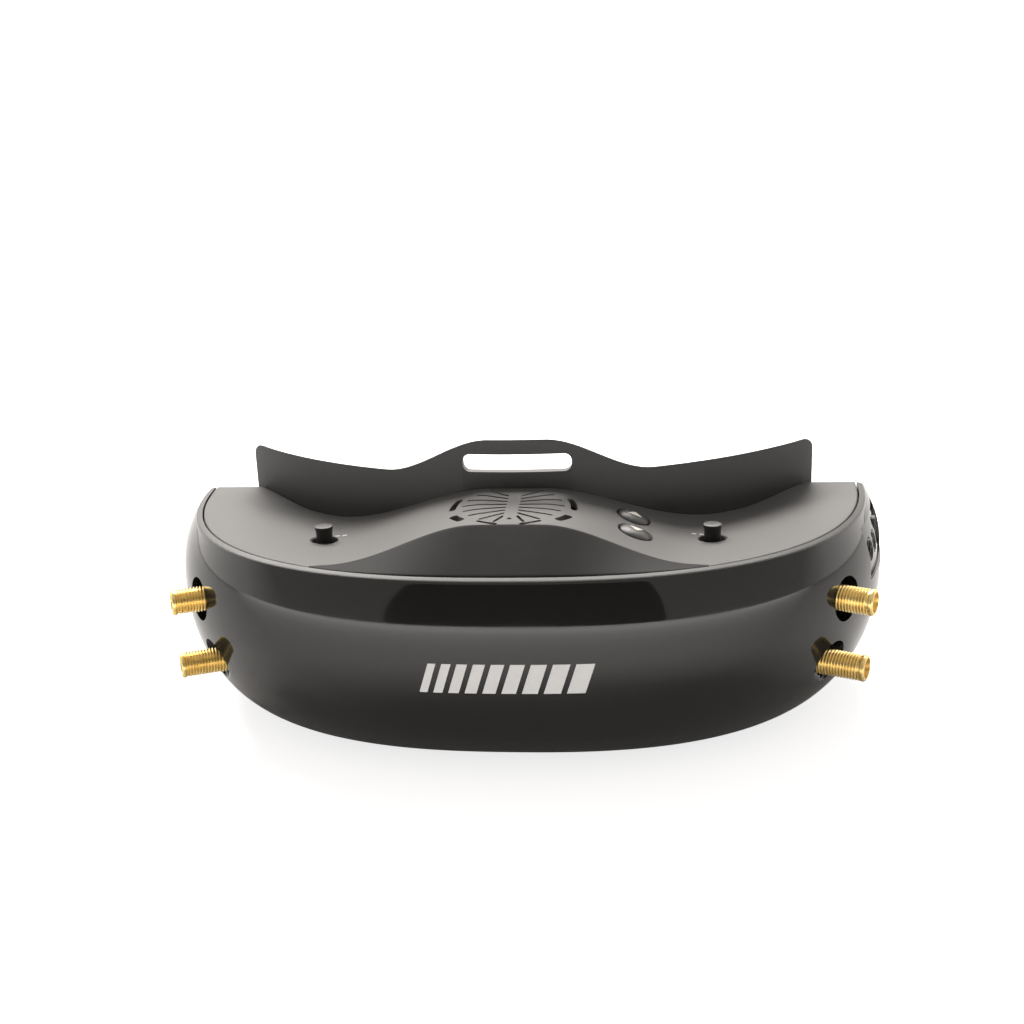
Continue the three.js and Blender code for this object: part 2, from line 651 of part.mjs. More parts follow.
function buildFacePlate() {
  const columns = 50;
  const place = (r, drop) => (i, j) => {
    const x = PLATE_HALF * Math.sin(rad(-90 + 180 * i / columns));
    return [x, plateY(x, r), j === 0 ? PLATE_LOW + wingCorner(x) : plateTop(x) - drop];
  };
  const sheet = slab(columns, 1, place(PLATE_R, 0), place(PLATE_R - PLATE_T, PLATE_SLOPE));
  const earY = [BODY_REAR_Y + GAP, BODY_REAR_Y + GAP + PLATE_T];
  const ears = [1, -1].map((sign) => alongY(earOutline(sign), earY));
  const nose = [];
  for (let k = 0; k <= 14; k++) {
    const a = Math.PI * k / 14;
    nose.push([(NOSE_HALF + 0.6) * Math.cos(a), (NOSE_TOP + 0.6) * Math.sin(a)]);
  }
  nose.push([-NOSE_HALF - 0.6, -3], [NOSE_HALF + 0.6, -3]);
  const removed = [
    alongY(roundedBox(0, 63.1, 26.5, 4.4, 1.8, 4), [0, 30]),
    alongY(nose, [0, 30]),
  ];
  for (const sign of [1, -1]) {
    removed.push(rod(EYE_HOLE_R, 0, 40, [sign * EYE_X, 0, EYE_Z], [0, 1, 0], 32));
    const middle = sign * (STRAP_X[0] + STRAP_X[1]) / 2;
    const width = STRAP_X[1] - STRAP_X[0];
    const height = STRAP_Z[1] - STRAP_Z[0];
    const centreZ = (STRAP_Z[0] + STRAP_Z[1]) / 2;
    removed.push(alongY(roundedBox(middle, centreZ, width, height, 1.2, 2), [35, 50]));
    for (const [x, z] of EAR_SCREWS) removed.push(rod(1.5, 30, 60, [sign * x, 0, z], [0, 1, 0], 10));
  }
  put('face_plate', cut(join(sheet, ...ears), ...removed), LOOK.plate());
}

const FOAM_R = [PLATE_R - PLATE_T - GAP, 88.4];
const FOAM_ANGLE = 41.5;
const FOAM_Z = [6, 57.4];

function buildFoam() {
  const columns = 28;
  const place = (r) => (i, j) => {
    const share = -1 + 2 * i / columns;
    const a = rad(FOAM_ANGLE * share);
    const corner = 7 * (1 - Math.sqrt(1 - Math.max(0, (Math.abs(share) - 0.86) / 0.14) ** 2 * 0.96));
    const z = j === 0 ? FOAM_Z[0] + corner : FOAM_Z[1] - corner;
    return [r * Math.sin(a), PLATE_Y + PLATE_R - r * Math.cos(a), z];
  };
  const pad = slab(columns, 1, place(FOAM_R[0]), place(FOAM_R[1]));
  const eyes = alongY(roundedBox(0, 30, 98, 32, 12, 4), [0, 60]);
  const nose = alongY(roundedBox(0, 8, 37, 26, 8, 3), [0, 60]);
  put('face_foam', cut(pad, eyes, nose), LOOK.foam());
}

// ---- optics ----
const RAIL_Y = -11.2;
const RAIL_Z = [13.2, 36.2];

function buildOptics() {
  for (const [k, name] of ['lower', 'upper'].entries()) {
    put(`lens_rail_${name}`, rod(1.2, -53.4, 53.4, [0, RAIL_Y, RAIL_Z[k]], [1, 0, 0], 10), LOOK.steel());
  }
  for (const [hand, sign] of [['left', 1], ['right', -1]]) {
    const x = sign * EYE_X;
    const block = box([x - 14, x + 14], [-14, -8], [10.6, 38.3]);
    const barrel = rod(BARREL_R, -8.2, 11, [x, 0, EYE_Z], [0, 1, 0], 28);
    const bores = [
      rod(11.6, -1, 12, [x, 0, EYE_Z], [0, 1, 0], 28),
      rod(9.6, -15, 0, [x, 0, EYE_Z], [0, 1, 0], 20),
      ...RAIL_Z.map((z) => rod(1.5, -20, 20, [x, RAIL_Y, z], [1, 0, 0], 10)),
    ];
    put(`lens_barrel_${hand}`, cut(join(block, barrel), ...bores), LOOK.black());
    const lens = [[0, 4], [11.2, 5.6], [11.2, 8.2], [8.6, 9.6], [4.6, 10.4], [0, 10.6]];
    put(`eyepiece_${hand}`, turned(lens, [x, 0, EYE_Z], [0, 1, 0], 20), LOOK.glass());
    put(`display_${hand}`, box([x - 13, x + 13], [-16.5, -14.3], [14.5, 36.5]), LOOK.black());
    put(`ipd_tab_${hand}`, box([x - 2.5, x + 2.5], [-1.9, 1.9], [0.6, 12.3]), LOOK.black());
  }
}

// ---- boards, fan, joysticks, buttons ----
function buildBoards() {
  const half = [[50, 7.5], [50, -10], [42, -18.5], [24, -22]];
  const outline = [...half, ...half.map(([x, y]) => [-x, y]).reverse()];
  put('main_board', alongZ(outline, [BOARD_TOP - 1.2, BOARD_TOP]), LOOK.board());
  for (const [hand, sign] of [['left', 1], ['right', -1]]) {
    const span = (a, b) => (sign > 0 ? [a, b] : [-b, -a]);
    put(`receiver_board_${hand}`, box(span(60.5, 61.7), [-5, 23], [10, 36]), LOOK.board());
    put(`receiver_can_${hand}`, box(span(62.0, 64.6), [-2, 18], [12, 33]), LOOK.steel());
  }
}

function buildFan() {
  const half = FAN_SIZE / 2;
  const centre = [0, FAN_Y, 0];
  const up = [0, 0, 1];
  const body = alongZ(roundedBox(0, FAN_Y, FAN_SIZE, FAN_SIZE, 2, 3), [FAN_LOW, FAN_HIGH]);
  const struts = [0, 120, 240].map((turn) => {
    const geometry = new THREE.BoxGeometry(half, 1.6, 1.0);
    geometry.translate(half / 2, 0, FAN_LOW + 0.5);
    const matrix = new THREE.Matrix4().makeRotationZ(rad(turn + 90)).setPosition(0, FAN_Y, 0);
    return toSolid(geometry, matrix);
  });
  const frame = join(
    cut(body, rod(11.7, 40, 60, centre, up, 28)),
    rod(5.2, FAN_LOW, FAN_LOW + 1.0, centre, up, 16),
    ...struts);
  put('fan_frame', frame, LOOK.black());

  const blades = [];
  for (let k = 0; k < 7; k++) {
    const geometry = new THREE.BoxGeometry(7.2, 0.9, 5.4);
    const matrix = new THREE.Matrix4().makeRotationZ(rad(k * 360 / 7)).setPosition(0, FAN_Y, 48.8);
    matrix.multiply(new THREE.Matrix4().makeTranslation(7.4, 0, 0));
    matrix.multiply(new THREE.Matrix4().makeRotationX(rad(42)));
    blades.push(toSolid(geometry, matrix));
  }
  put('fan_rotor', join(rod(5.2, 45.8, 51.4, centre, up, 20), ...blades), LOOK.black());
}

function buildJoysticks() {
  const up = [0, 0, 1];
  for (const [hand, sign] of [['left', 1], ['right', -1]]) {
    const x = sign * STICK_X;
    const centre = [x, STICK_Y, 0];
    const low = BOARD_TOP + GAP;
    const base = box([x - 4.5, x + 4.5], [STICK_Y - 4.5, STICK_Y + 4.5], [low, 43.6]);
    put(`joystick_base_${hand}`, cut(base, rod(3.7, 41.1, 44, centre, up, 16)), LOOK.steel());
    put(`joystick_ring_${hand}`, tube(3.3, 2.6, 42.0, 42.8, centre, up, 14), LOOK.steel());
    put(`joystick_rocker_${hand}`, tube(2.3, 1.25, 42.0, 42.8, centre, up, 12), LOOK.black());
    const stick = [
      [0, 42.0], [0.95, 42.0], [0.95, 44.5], [1.95, 44.5], [1.95, 48.8],
      [2.2, 49.8], [2.2, 50.35], [0, 50.35],
    ];
    put(`joystick_cap_${hand}`, turned(stick, centre, up, 14), LOOK.black());
  }
}

function buildChannelButtons() {
  for (const { name, origin, out } of buttonPlaces) {
    const button = [
      [0, -4.9], [1.2, -4.9], [1.2, -3.6], [4.6, -3.6], [4.6, -2.7], [BUTTON_R, -2.7],
      [BUTTON_R, 0.1], [2.6, 0.72], [0, 0.97],
    ];
    put(`${name}_button`, turned(button, origin, out, 18), LOOK.button());
  }
  const [first, second] = buttonPlaces;
  const middle = new THREE.Vector3(...first.origin).lerp(new THREE.Vector3(...second.origin), 0.5);
  const out = new THREE.Vector3(...first.out).add(new THREE.Vector3(...second.out)).normalize();
  const back = new THREE.Vector3(0, 1, 0);
  back.addScaledVector(out, -back.dot(out)).normalize();
  const across = new THREE.Vector3().crossVectors(back, out);
  const frame = new THREE.Matrix4().makeBasis(across, back, out).setPosition(middle);
  const block = (w, d, low, high, shift) => {
    const geometry = new THREE.BoxGeometry(w, d, high - low);
    geometry.translate(0, shift, (low + high) / 2);
    return toSolid(geometry, frame);
  };
  const spacing = 5.05;
  const switches = [spacing, -spacing].map((shift) => block(4.5, 4.5, -7.6, -5.6, shift));
  put('channel_board', join(block(9, 19, -8.7, -7.5, 0), ...switches), LOOK.board());
}

// ---- screws ----
function screw(name, origin, axis, headR, headH, shankR, length) {
  // Head from 0 to headH along the axis, shank on from there.
  const profile = [[0, 0], [headR, 0], [headR, headH], [shankR, headH], [shankR, length], [0, length]];
  put(name, turned(profile, origin, axis, 12), LOOK.steel());
}

function buildScrews() {
  for (const [hand, sign] of [['left', 1], ['right', -1]]) {
    for (const [k, [x, y]] of BOTTOM_SCREWS.entries()) {
      const where = k === 0 ? 'front' : 'rear';
      screw(`bottom_screw_${where}_${hand}`, [sign * x, y, 0.25], [0, 0, 1], 2.4, 0.85, 1.15, 9.5);
    }
    for (const [k, [x, z]] of EAR_SCREWS.entries()) {
      const where = k === 0 ? 'lower' : 'upper';
      const headFace = BODY_REAR_Y + GAP + PLATE_T + GAP + 1.4;
      screw(`plate_screw_${where}_${hand}`, [sign * x, headFace, z], [0, -1, 0], 2.3, 1.4, 1.15, 9.5);
    }
  }
}

buildAntennaConnectors();
buildFrontShell();
buildPorts();
buildTopCover();
buildBottomCover();
buildFacePlate();
buildFoam();
buildOptics();
buildBoards();
buildFan();
buildJoysticks();
buildChannelButtons();
buildScrews();

const goggles = new THREE.Group();
for (const [name, { solid, material }] of parts) {
  const mesh = new THREE.Mesh(toGeometry(solid), material);
  mesh.name = name;
  goggles.add(mesh);
}

// The origin goes under the middle of the box, on the surface the goggles stand on.
const bounds = new THREE.Box3().setFromObject(goggles);
goggles.position.set(0, -(bounds.min.y + bounds.max.y) / 2, -bounds.min.z);
goggles.updateMatrixWorld(true);

export default goggles;
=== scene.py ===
# The looks of a pair of first-person-view goggles: a glossy front shell round a matte top
# cover with a fan hump, two joysticks, two channel buttons, four gold antenna connectors,
# a curved face plate, a foam face pad and the lenses behind it.
# Sizes are millimetres in the frame's directions until place() makes them metres.
import math

import bmesh
import bpy
from mathutils import Matrix, Vector


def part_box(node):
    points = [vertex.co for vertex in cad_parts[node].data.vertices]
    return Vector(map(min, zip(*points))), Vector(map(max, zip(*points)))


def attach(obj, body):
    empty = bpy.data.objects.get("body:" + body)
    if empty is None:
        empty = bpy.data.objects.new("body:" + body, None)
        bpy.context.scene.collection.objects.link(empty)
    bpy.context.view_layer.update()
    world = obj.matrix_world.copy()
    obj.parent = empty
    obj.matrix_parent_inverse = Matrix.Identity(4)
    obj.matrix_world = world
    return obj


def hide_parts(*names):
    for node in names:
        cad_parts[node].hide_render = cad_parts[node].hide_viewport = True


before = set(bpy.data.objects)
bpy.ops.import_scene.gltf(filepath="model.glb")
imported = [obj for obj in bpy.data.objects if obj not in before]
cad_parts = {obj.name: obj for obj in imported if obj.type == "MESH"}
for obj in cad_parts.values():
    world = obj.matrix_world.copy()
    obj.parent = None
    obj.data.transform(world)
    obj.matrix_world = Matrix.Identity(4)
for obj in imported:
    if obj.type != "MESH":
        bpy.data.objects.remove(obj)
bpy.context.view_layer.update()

MM = 0.001
GAP = 0.3
WALL = 2.2
COVER = 2.0
HANDS = (("left", 1), ("right", -1))

# ---- the seam between the top cover and the front shell, seen from above ----
SEAM_A = 85.09
SEAM_B = 76.4
SEAM_POWER = 2.45
SEAM_BACK_Y = 47.4
SEAM_Z = 48.57
BODY_REAR_Y = 41.0
COVER_REAR_Y = 40.2

# ---- section of the front shell, outward from the seam ----
RIM_WIDTH = 1.53
RIM_Z = 48.17
RIM_ROUND = 0.7
BELLY_OUT = 5.85
BELLY_Z = 31.0
TUCK = 22.0
UPPER_POWER = 2.7
LIP_ANGLE = 78.0

# ---- top cover ----
DISH = 2.4
DISH_WIDTH = 0.7
DISH_FADE = (26.0, 40.0)
CREST_Y = -14.3
CREST_SWEEP = 7.0
CREST_HALF = 45.0
CREST_SOFT = 0.35
HUMP_Z = 56.0
HUMP_RISE = 0.036
HUMP_REACH = (45.3, 0.207)   # x where the hump ends, at y = 0 and per mm of y
HUMP_FLANK = (38.6, 0.287)   # width of its flank, likewise
EDGE_ROUND = 0.45

# ---- face plate and foam ----
PLATE_R = 100.0
PLATE_Y = 10.5
PLATE_T = 2.4
PLATE_HALF = 73.8
PLATE_LOW = 2.0
PLATE_TOP = 60.4
PLATE_SLOPE = 1.2
BROW_RISE = 8.6
BROW_HALF = 33.0
BROW_RUN = 26.0
BROW_SLOT = (0, 63.1, 26.5, 4.4, 1.8)   # x and z of its middle, width, height, corner radius
WING_CORNER = 3.0
PLATE_EDGE = 0.25
FOAM_R = (PLATE_R - PLATE_T - GAP, 88.4)
FOAM_ANGLE = 41.5
FOAM_Z = (6.0, 57.4)

# ---- eyes, nose ----
EYE_X = 32.0
EYE_Z = 25.5
EYE_HOLE_R = 16.5
EYE_TRAVEL = 2.5
BARREL_R = 12.8
NOSE_HALF = 16.0
NOSE_TOP = 25.0
NOSE_GAP = 0.6
RAIL_Y = -11.2
RAIL_Z = (13.2, 36.2)

# ---- controls ----
STICK_X = 46.5
STICK_Y = 2.2
STICK_HOLE_R = 3.25
BUTTONS = {"channel_up": (28.0, 6.1), "channel_down": (28.5, -4.0)}
BUTTON_R = 3.8
FAN_Y = -3.2
VENT_Y = -1.4
# Slots round the fan: from and to in degrees, radius, half width
VENT_ARCS = ((-5, 25, 14.3, 0.8), (-42, -22, 14.6, 1.0), (-79, -55, 12.9, 0.5))

# ---- antenna connectors ----
SMA_ANGLE = 24.0
SMA_TIPS = {"upper": (83.4, -6.6, 33.8), "lower": (81.6, -9.8, 18.8)}
SMA_R = 3.175
POCKET_R = 5.4
POCKET_FLOOR = 11.0
THREAD_PITCH = 25.4 / 36
THREAD_CORE = 2.82

# ---- ports, straps, screws ----
PORT_Y = (11.3, 35.2)
PORT_Z = (33.5, 46.2)
PORT_SINK = 0.8
PORT_AXIS_Z = 39.9
JACKS = {
    "dc_jack": (28.6, 3.6, 2.8, 1.0),
    "av_jack": (21.3, 2.3, 1.75, 0),
    "earphone_jack": (15.5, 2.3, 1.75, 0),
}
STRAP_X = (77.6, 82.6)
STRAP_Z = (11.0, 39.0)
BOTTOM_SCREWS = ((56.0, 8.0), (66.0, 28.5))
EAR_SCREWS = ((76.6, 5.9), (77.6, 43.2))

# The frame's origin is under the middle of the goggles, so the shell's rear edge gives the shift.
SHIFT_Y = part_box("front_shell")[1].y / MM - BODY_REAR_Y


def place(point):
    return Vector((point[0], point[1] + SHIFT_Y, point[2])) * MM


# =========================================================================================
# Node trees
# =========================================================================================

class Value:
    """A socket that can stand in sums: each operator adds its own Math node."""

    def __init__(self, nodes, socket):
        self.nodes = nodes
        self.socket = socket

    def math(self, operation, first, second):
        return self.nodes.add("ShaderNodeMath", {"operation": operation}, {0: first, 1: second})

    def __add__(self, other):
        return self.math("ADD", self, other)

    def __radd__(self, other):
        return self.math("ADD", other, self)

    def __sub__(self, other):
        return self.math("SUBTRACT", self, other)

    def __mul__(self, other):
        return self.math("MULTIPLY", self, other)

    def __rmul__(self, other):
        return self.math("MULTIPLY", other, self)


class Nodes:
    """Adds nodes to a tree: a type, its settings, and the values or links of its sockets."""

    def __init__(self, tree):
        self.tree = tree

    def add(self, kind, settings=None, values=None, output=0):
        node = self.tree.nodes.new(kind)
        for name, setting in (settings or {}).items():
            if name == "stops":
                self.set_stops(node.color_ramp, setting)
            else:
                setattr(node, name, setting)
        for name, value in (values or {}).items():
            if isinstance(value, Value):
                self.tree.links.new(value.socket, node.inputs[name])
            else:
                node.inputs[name].default_value = value
        return Value(self, node.outputs[output]) if len(node.outputs) else node

    @staticmethod
    def set_stops(ramp, stops):
        while len(ramp.elements) < len(stops):
            ramp.elements.new(0.5)
        for element, (position, shade) in zip(ramp.elements, stops):
            element.position = position
            element.color = (shade, shade, shade, 1.0)


class Look(Nodes):
    """A material under construction: patterns in object coordinates, then one surface."""

    def __init__(self, name):
        self.material = bpy.data.materials.new(name)
        self.material.use_nodes = True
        self.material.node_tree.nodes.clear()
        super().__init__(self.material.node_tree)
        self.where = self.add("ShaderNodeTexCoord", output="Object")

    def noise(self, size, detail=3.0, roughness=0.5):
        """Cloudy pattern from 0 to 1, with features of about this size in millimetres."""
        return self.add("ShaderNodeTexNoise", None, {
            "Vector": self.where, "Scale": 1 / (size * MM), "Detail": detail, "Roughness": roughness})

    def cells(self, size, feature="F1"):
        return self.add("ShaderNodeTexVoronoi", {"feature": feature}, {
            "Vector": self.where, "Scale": 1 / (size * MM)})

    def steps(self, value, stops):
        return self.add("ShaderNodeValToRGB", {"stops": stops}, {"Fac": value})

    def blend(self, share, first, second):
        return self.add("ShaderNodeMix", {"data_type": "RGBA"}, {0: share, 6: first, 7: second}, output=2)

    def bump(self, height, depth, strength=1.0, before=None):
        """Relief of this depth in millimetres."""
        values = {"Height": height, "Distance": depth * MM, "Strength": strength}
        if before:
            values["Normal"] = before
        return self.add("ShaderNodeBump", None, values)

    def part_of(self, axis):
        return self.add("ShaderNodeSeparateXYZ", None, {"Vector": self.where}, output="XYZ".index(axis))

    def surface(self, **values):
        shader = self.add("ShaderNodeBsdfPrincipled", None, {
            name.replace("_", " "): value for name, value in values.items()})
        self.add("ShaderNodeOutputMaterial", None, {"Surface": shader})
        return self.material


def colour(red, green, blue):
    return (red, green, blue, 1.0)


# =========================================================================================
# Finishes
# =========================================================================================

SHELL_BLACK = colour(0.011, 0.0106, 0.0102)
SHELL_DUST = colour(0.16, 0.156, 0.152)
COVER_GREY = colour(0.12, 0.117, 0.114)
RIM_GREY = colour(0.018, 0.0176, 0.0172)
RIM_START = 47.95       # height where the shell's gloss gives way to the cover's texture
RIM_BLEND = 0.2


def gloss_shell_look():
    look = Look("gloss_shell")
    haze = look.steps(look.noise(26, 4), [(0.35, 0.0), (0.75, 1.0)])
    specks = look.steps(look.cells(2.3), [(0.0, 1.0), (0.035, 0.0)]) * look.steps(
        look.noise(9), [(0.5, 0.0), (0.62, 1.0)])
    peel = look.noise(3.2, 1)
    above = (look.part_of("Z") - RIM_START * MM) * (1 / (RIM_BLEND * MM))
    rim = look.steps(above, [(0.0, 0.0), (1.0, 1.0)])
    return look.surface(
        Base_Color=look.blend(rim, look.blend(specks * 0.35, SHELL_BLACK, SHELL_DUST), RIM_GREY),
        Roughness=0.055 + haze * 0.05 + specks * 0.2 + rim * 0.38,
        Normal=look.bump(peel, 0.012, 0.35),
        IOR=1.5)


def moulded_look(name, dark, light, low, high, grain, depth, ior=1.5):
    """Spark-textured moulded plastic: fine grain, soft blotches, roughness that varies a little."""
    look = Look(name)
    blotch = look.steps(look.noise(14, 4), [(0.3, 0.0), (0.7, 1.0)])
    fine = look.noise(grain, 2, 0.6)
    return look.surface(
        Base_Color=look.blend(blotch * 0.6 + fine * 0.4, dark, light),
        Roughness=low + (high - low) * (blotch * 0.4 + fine * 0.6),
        Normal=look.bump(fine, depth, 0.7),
        IOR=ior)


def foam_look():
    look = Look("foam")
    pores = look.steps(look.cells(0.55), [(0.0, 0.0), (0.6, 1.0)])
    fluff = look.noise(0.3, 4, 0.7)
    soft = look.noise(12)
    return look.surface(
        Base_Color=look.blend(
            pores * 0.7 + soft * 0.3, colour(0.006, 0.006, 0.006), colour(0.024, 0.023, 0.022)),
        Roughness=0.88 + fluff * 0.1,
        Normal=look.bump(pores * 0.7 + fluff * 0.3, 0.14, 0.8),
        Sheen_Weight=0.25,
        Sheen_Roughness=0.5)


def gold_look():
    look = Look("gold")
    stain = look.steps(look.noise(2.2, 4), [(0.35, 0.0), (0.75, 1.0)])
    lines = look.noise(0.12, 2)
    return look.surface(
        Base_Color=look.blend(stain, colour(0.93, 0.71, 0.30), colour(0.84, 0.60, 0.21)),
        Metallic=1.0,
        Roughness=0.24 + stain * 0.10 + lines * 0.06,
        Normal=look.bump(lines, 0.006, 0.4))


def steel_look():
    look = Look("steel")
    smear = look.noise(4, 4)
    scratches = look.noise(0.15, 3, 0.7)
    return look.surface(
        Base_Color=look.blend(smear, colour(0.52, 0.52, 0.53), colour(0.36, 0.36, 0.37)),
        Metallic=1.0,
        Roughness=0.24 + smear * 0.1 + scratches * 0.08,
        Normal=look.bump(scratches, 0.004, 0.4))


def ptfe_look():
    look = Look("ptfe")
    cloud = look.noise(1.5)
    return look.surface(
        Base_Color=look.blend(cloud, colour(0.72, 0.70, 0.64), colour(0.60, 0.58, 0.52)),
        Roughness=0.42 + cloud * 0.12,
        Normal=look.bump(look.noise(0.2), 0.004, 0.4),
        Subsurface_Weight=0.15,
        Subsurface_Scale=0.0006)


def board_look():
    look = Look("circuit_board")
    weave = look.noise(0.35, 1)
    tracks = look.steps(look.cells(1.8, "F2"), [(0.48, 0.0), (0.5, 1.0)])
    return look.surface(
        Base_Color=look.blend(tracks * 0.55, colour(0.006, 0.045, 0.022), colour(0.02, 0.12, 0.05)),
        Roughness=0.32 + weave * 0.15,
        Normal=look.bump(tracks * 0.8 + weave * 0.2, 0.03, 0.5))


def glass_look():
    look = Look("lens_glass")
    tint = look.noise(18, 1)
    return look.surface(
        Base_Color=look.blend(tint, colour(0.90, 0.95, 1.0), colour(0.95, 0.92, 1.0)),
        Roughness=0.015 + look.noise(9, 4) * 0.02,
        Transmission_Weight=1.0,
        IOR=1.49)


def button_look():
    look = Look("button_plastic")
    fine = look.noise(0.25, 2)
    wear = look.steps(look.noise(2.4), [(0.4, 0.0), (0.8, 1.0)])
    return look.surface(
        Base_Color=look.blend(wear, colour(0.050, 0.049, 0.047), colour(0.085, 0.083, 0.080)),
        Roughness=0.34 + fine * 0.08 + wear * 0.06,
        Normal=look.bump(fine, 0.008, 0.5))


def ink_look(name, bright, dull):
    """Pad-printed ink: slightly uneven, with a few pinholes."""
    look = Look(name)
    uneven = look.noise(1.1, 4)
    pinholes = look.steps(look.cells(0.6), [(0.0, 1.0), (0.05, 0.0)])
    return look.surface(
        Base_Color=look.blend(uneven * 0.5 + pinholes * 0.5, bright, dull),
        Roughness=0.38 + uneven * 0.12,
        Normal=look.bump(uneven, 0.01, 0.4))


LOOKS = {
    "gloss_shell": gloss_shell_look(),
    "matte_cover": moulded_look(
        "matte_cover", colour(0.105, 0.1025, 0.100), COVER_GREY, 0.58, 0.64, 0.35, 0.008),
    "plate_plastic": moulded_look(
        "plate_plastic", colour(0.024, 0.0234, 0.0228), colour(0.031, 0.0303, 0.0295),
        0.42, 0.52, 0.35, 0.008),
    "black_plastic": moulded_look(
        "black_plastic", colour(0.007, 0.007, 0.007), colour(0.013, 0.013, 0.0125),
        0.32, 0.44, 0.25, 0.012),
    "button_plastic": button_look(),
    "foam": foam_look(),
    "gold": gold_look(),
    "steel": steel_look(),
    "ptfe": ptfe_look(),
    "circuit_board": board_look(),
    "lens_glass": glass_look(),
}
# The ramp ahead of the crest gets a much darker copy of the cover's plastic: painted shade for the dark
# that the front-facing ramp shows.
RAMP_IOR = 1.22         # lower than any real plastic: it only keeps the ramp dark
RAMP_PAINTED_SHADE_LOOK = moulded_look(
    "cover_ramp_painted_shade", colour(0.008, 0.0078, 0.0076), colour(0.014, 0.0137, 0.0134),
    0.56, 0.62, 0.35, 0.008, RAMP_IOR)
PALE_INK = ink_look("pale_ink", colour(0.62, 0.61, 0.60), colour(0.48, 0.47, 0.46))
CREAM_INK = ink_look("cream_ink", colour(0.84, 0.82, 0.72), colour(0.66, 0.64, 0.55))


# =========================================================================================
# Solids: each is a list of points and a list of faces
# =========================================================================================

def outward(points, faces):
    volume = 0.0
    for face in faces:
        a = Vector(points[face[0]])
        for k in range(1, len(face) - 1):
            volume += a.dot(Vector(points[face[k]]).cross(Vector(points[face[k + 1]])))
    if volume < 0:
        faces = [tuple(reversed(face)) for face in faces]
    return points, faces


def together(*solids):
    points, faces = [], []
    for more, rings in solids:
        start = len(points)
        points += more
        faces += [tuple(start + k for k in ring) for ring in rings]
    return points, faces


def slab(columns, rows, front, back):
    """A closed solid between two grids of points, front(i, j) and back(i, j)."""
    points = [face(i, j) for face in (front, back) for i in range(columns + 1) for j in range(rows + 1)]
    side = (columns + 1) * (rows + 1)

    def at(k, i, j):
        return k * side + i * (rows + 1) + j

    faces = []
    for i in range(columns):
        for j in range(rows):
            faces.append((at(0, i, j), at(0, i + 1, j), at(0, i + 1, j + 1), at(0, i, j + 1)))
            faces.append((at(1, i, j), at(1, i, j + 1), at(1, i + 1, j + 1), at(1, i + 1, j)))
    for i in range(columns):
        faces.append((at(0, i, 0), at(1, i, 0), at(1, i + 1, 0), at(0, i + 1, 0)))
        faces.append((at(0, i, rows), at(0, i + 1, rows), at(1, i + 1, rows), at(1, i, rows)))
    for j in range(rows):
        faces.append((at(0, 0, j), at(0, 0, j + 1), at(1, 0, j + 1), at(1, 0, j)))
        faces.append((at(0, columns, j), at(1, columns, j), at(1, columns, j + 1), at(0, columns, j + 1)))
    return outward(points, faces)


def loft(sections):
    """A closed solid through a row of like closed outlines."""
    size = len(sections[0])
    points = [point for section in sections for point in section]
    faces = []
    for s in range(len(sections) - 1):
        for k in range(size):
            a = s * size + k
            b = s * size + (k + 1) % size
            faces.append((a, b, b + size, a + size))
    last = (len(sections) - 1) * size
    faces.append(tuple(reversed(range(size))))
    faces.append(tuple(range(last, last + size)))
    return outward(points, faces)


def upright(axis):
    """The turn that takes +Z to an axis."""
    return Vector((0, 0, 1)).rotation_difference(Vector(axis))


def turned(profile, origin, axis, sides=48):
    """A solid of revolution: [radius, height] pairs, from axis to axis or closed on itself."""
    turn = upright(axis)
    start = Vector(origin)
    closed = profile[0] == profile[-1]
    rings = profile[:-1] if closed else profile
    points, index = [], []
    for radius, height in rings:
        if radius == 0:
            index.append([len(points)] * sides)
            points.append(tuple(start + turn @ Vector((0, 0, height))))
            continue
        index.append(range(len(points), len(points) + sides))
        for k in range(sides):
            a = math.tau * k / sides
            spoke = Vector((radius * math.cos(a), radius * math.sin(a), height))
            points.append(tuple(start + turn @ spoke))
    faces = []
    for n in range(len(rings) if closed else len(rings) - 1):
        low, high = index[n], index[(n + 1) % len(rings)]
        for k in range(sides):
            corner = [low[k], low[(k + 1) % sides], high[(k + 1) % sides], high[k]]
            face = [p for m, p in enumerate(corner) if p != corner[m - 1]]
            if len(face) > 2:
                faces.append(tuple(face))
    return outward(points, faces)


def rod(radius, low, high, origin, axis, sides=32):
    return turned([(0, low), (radius, low), (radius, high), (0, high)], origin, axis, sides)


def block(x, y, z):
    corners = [(a, b, c) for a in x for b in y for c in z]
    return outward(corners, [
        (0, 1, 3, 2), (4, 6, 7, 5), (0, 4, 5, 1), (2, 3, 7, 6), (0, 2, 6, 4), (1, 5, 7, 3)])


def softened(points, radius, steps=4, closed=False):
    """An outline with its corners rounded: each gives way to a short curve."""
    result = []
    count = len(points)
    for k, corner in enumerate(points):
        if not closed and k in (0, count - 1):
            result.append(tuple(corner))
            continue
        here = Vector(corner)
        before = Vector(points[k - 1]) - here
        after = Vector(points[(k + 1) % count]) - here
        reach = min(radius, before.length / 2, after.length / 2)
        start = here + before.normalized() * reach
        end = here + after.normalized() * reach
        for n in range(steps + 1):
            u = n / steps
            result.append(tuple((1 - u) ** 2 * start + 2 * u * (1 - u) * here + u ** 2 * end))
    return result


def rounded_box(cx, cy, width, height, radius, steps=6):
    corners = [(1, 1, 0), (-1, 1, 90), (-1, -1, 180), (1, -1, 270)]
    outline = []
    for sx, sy, start in corners:
        for k in range(steps + 1):
            a = math.radians(start + 90 * k / steps)
            outline.append((
                cx + sx * (width / 2 - radius) + radius * math.cos(a),
                cy + sy * (height / 2 - radius) + radius * math.sin(a)))
    return outline


def along_y(outline, low, high):
    return loft([[(x, y, z) for x, z in outline] for y in (low, high)])


def along_z(outline, low, high):
    return loft([[(x, y, z) for x, y in outline] for z in (low, high)])


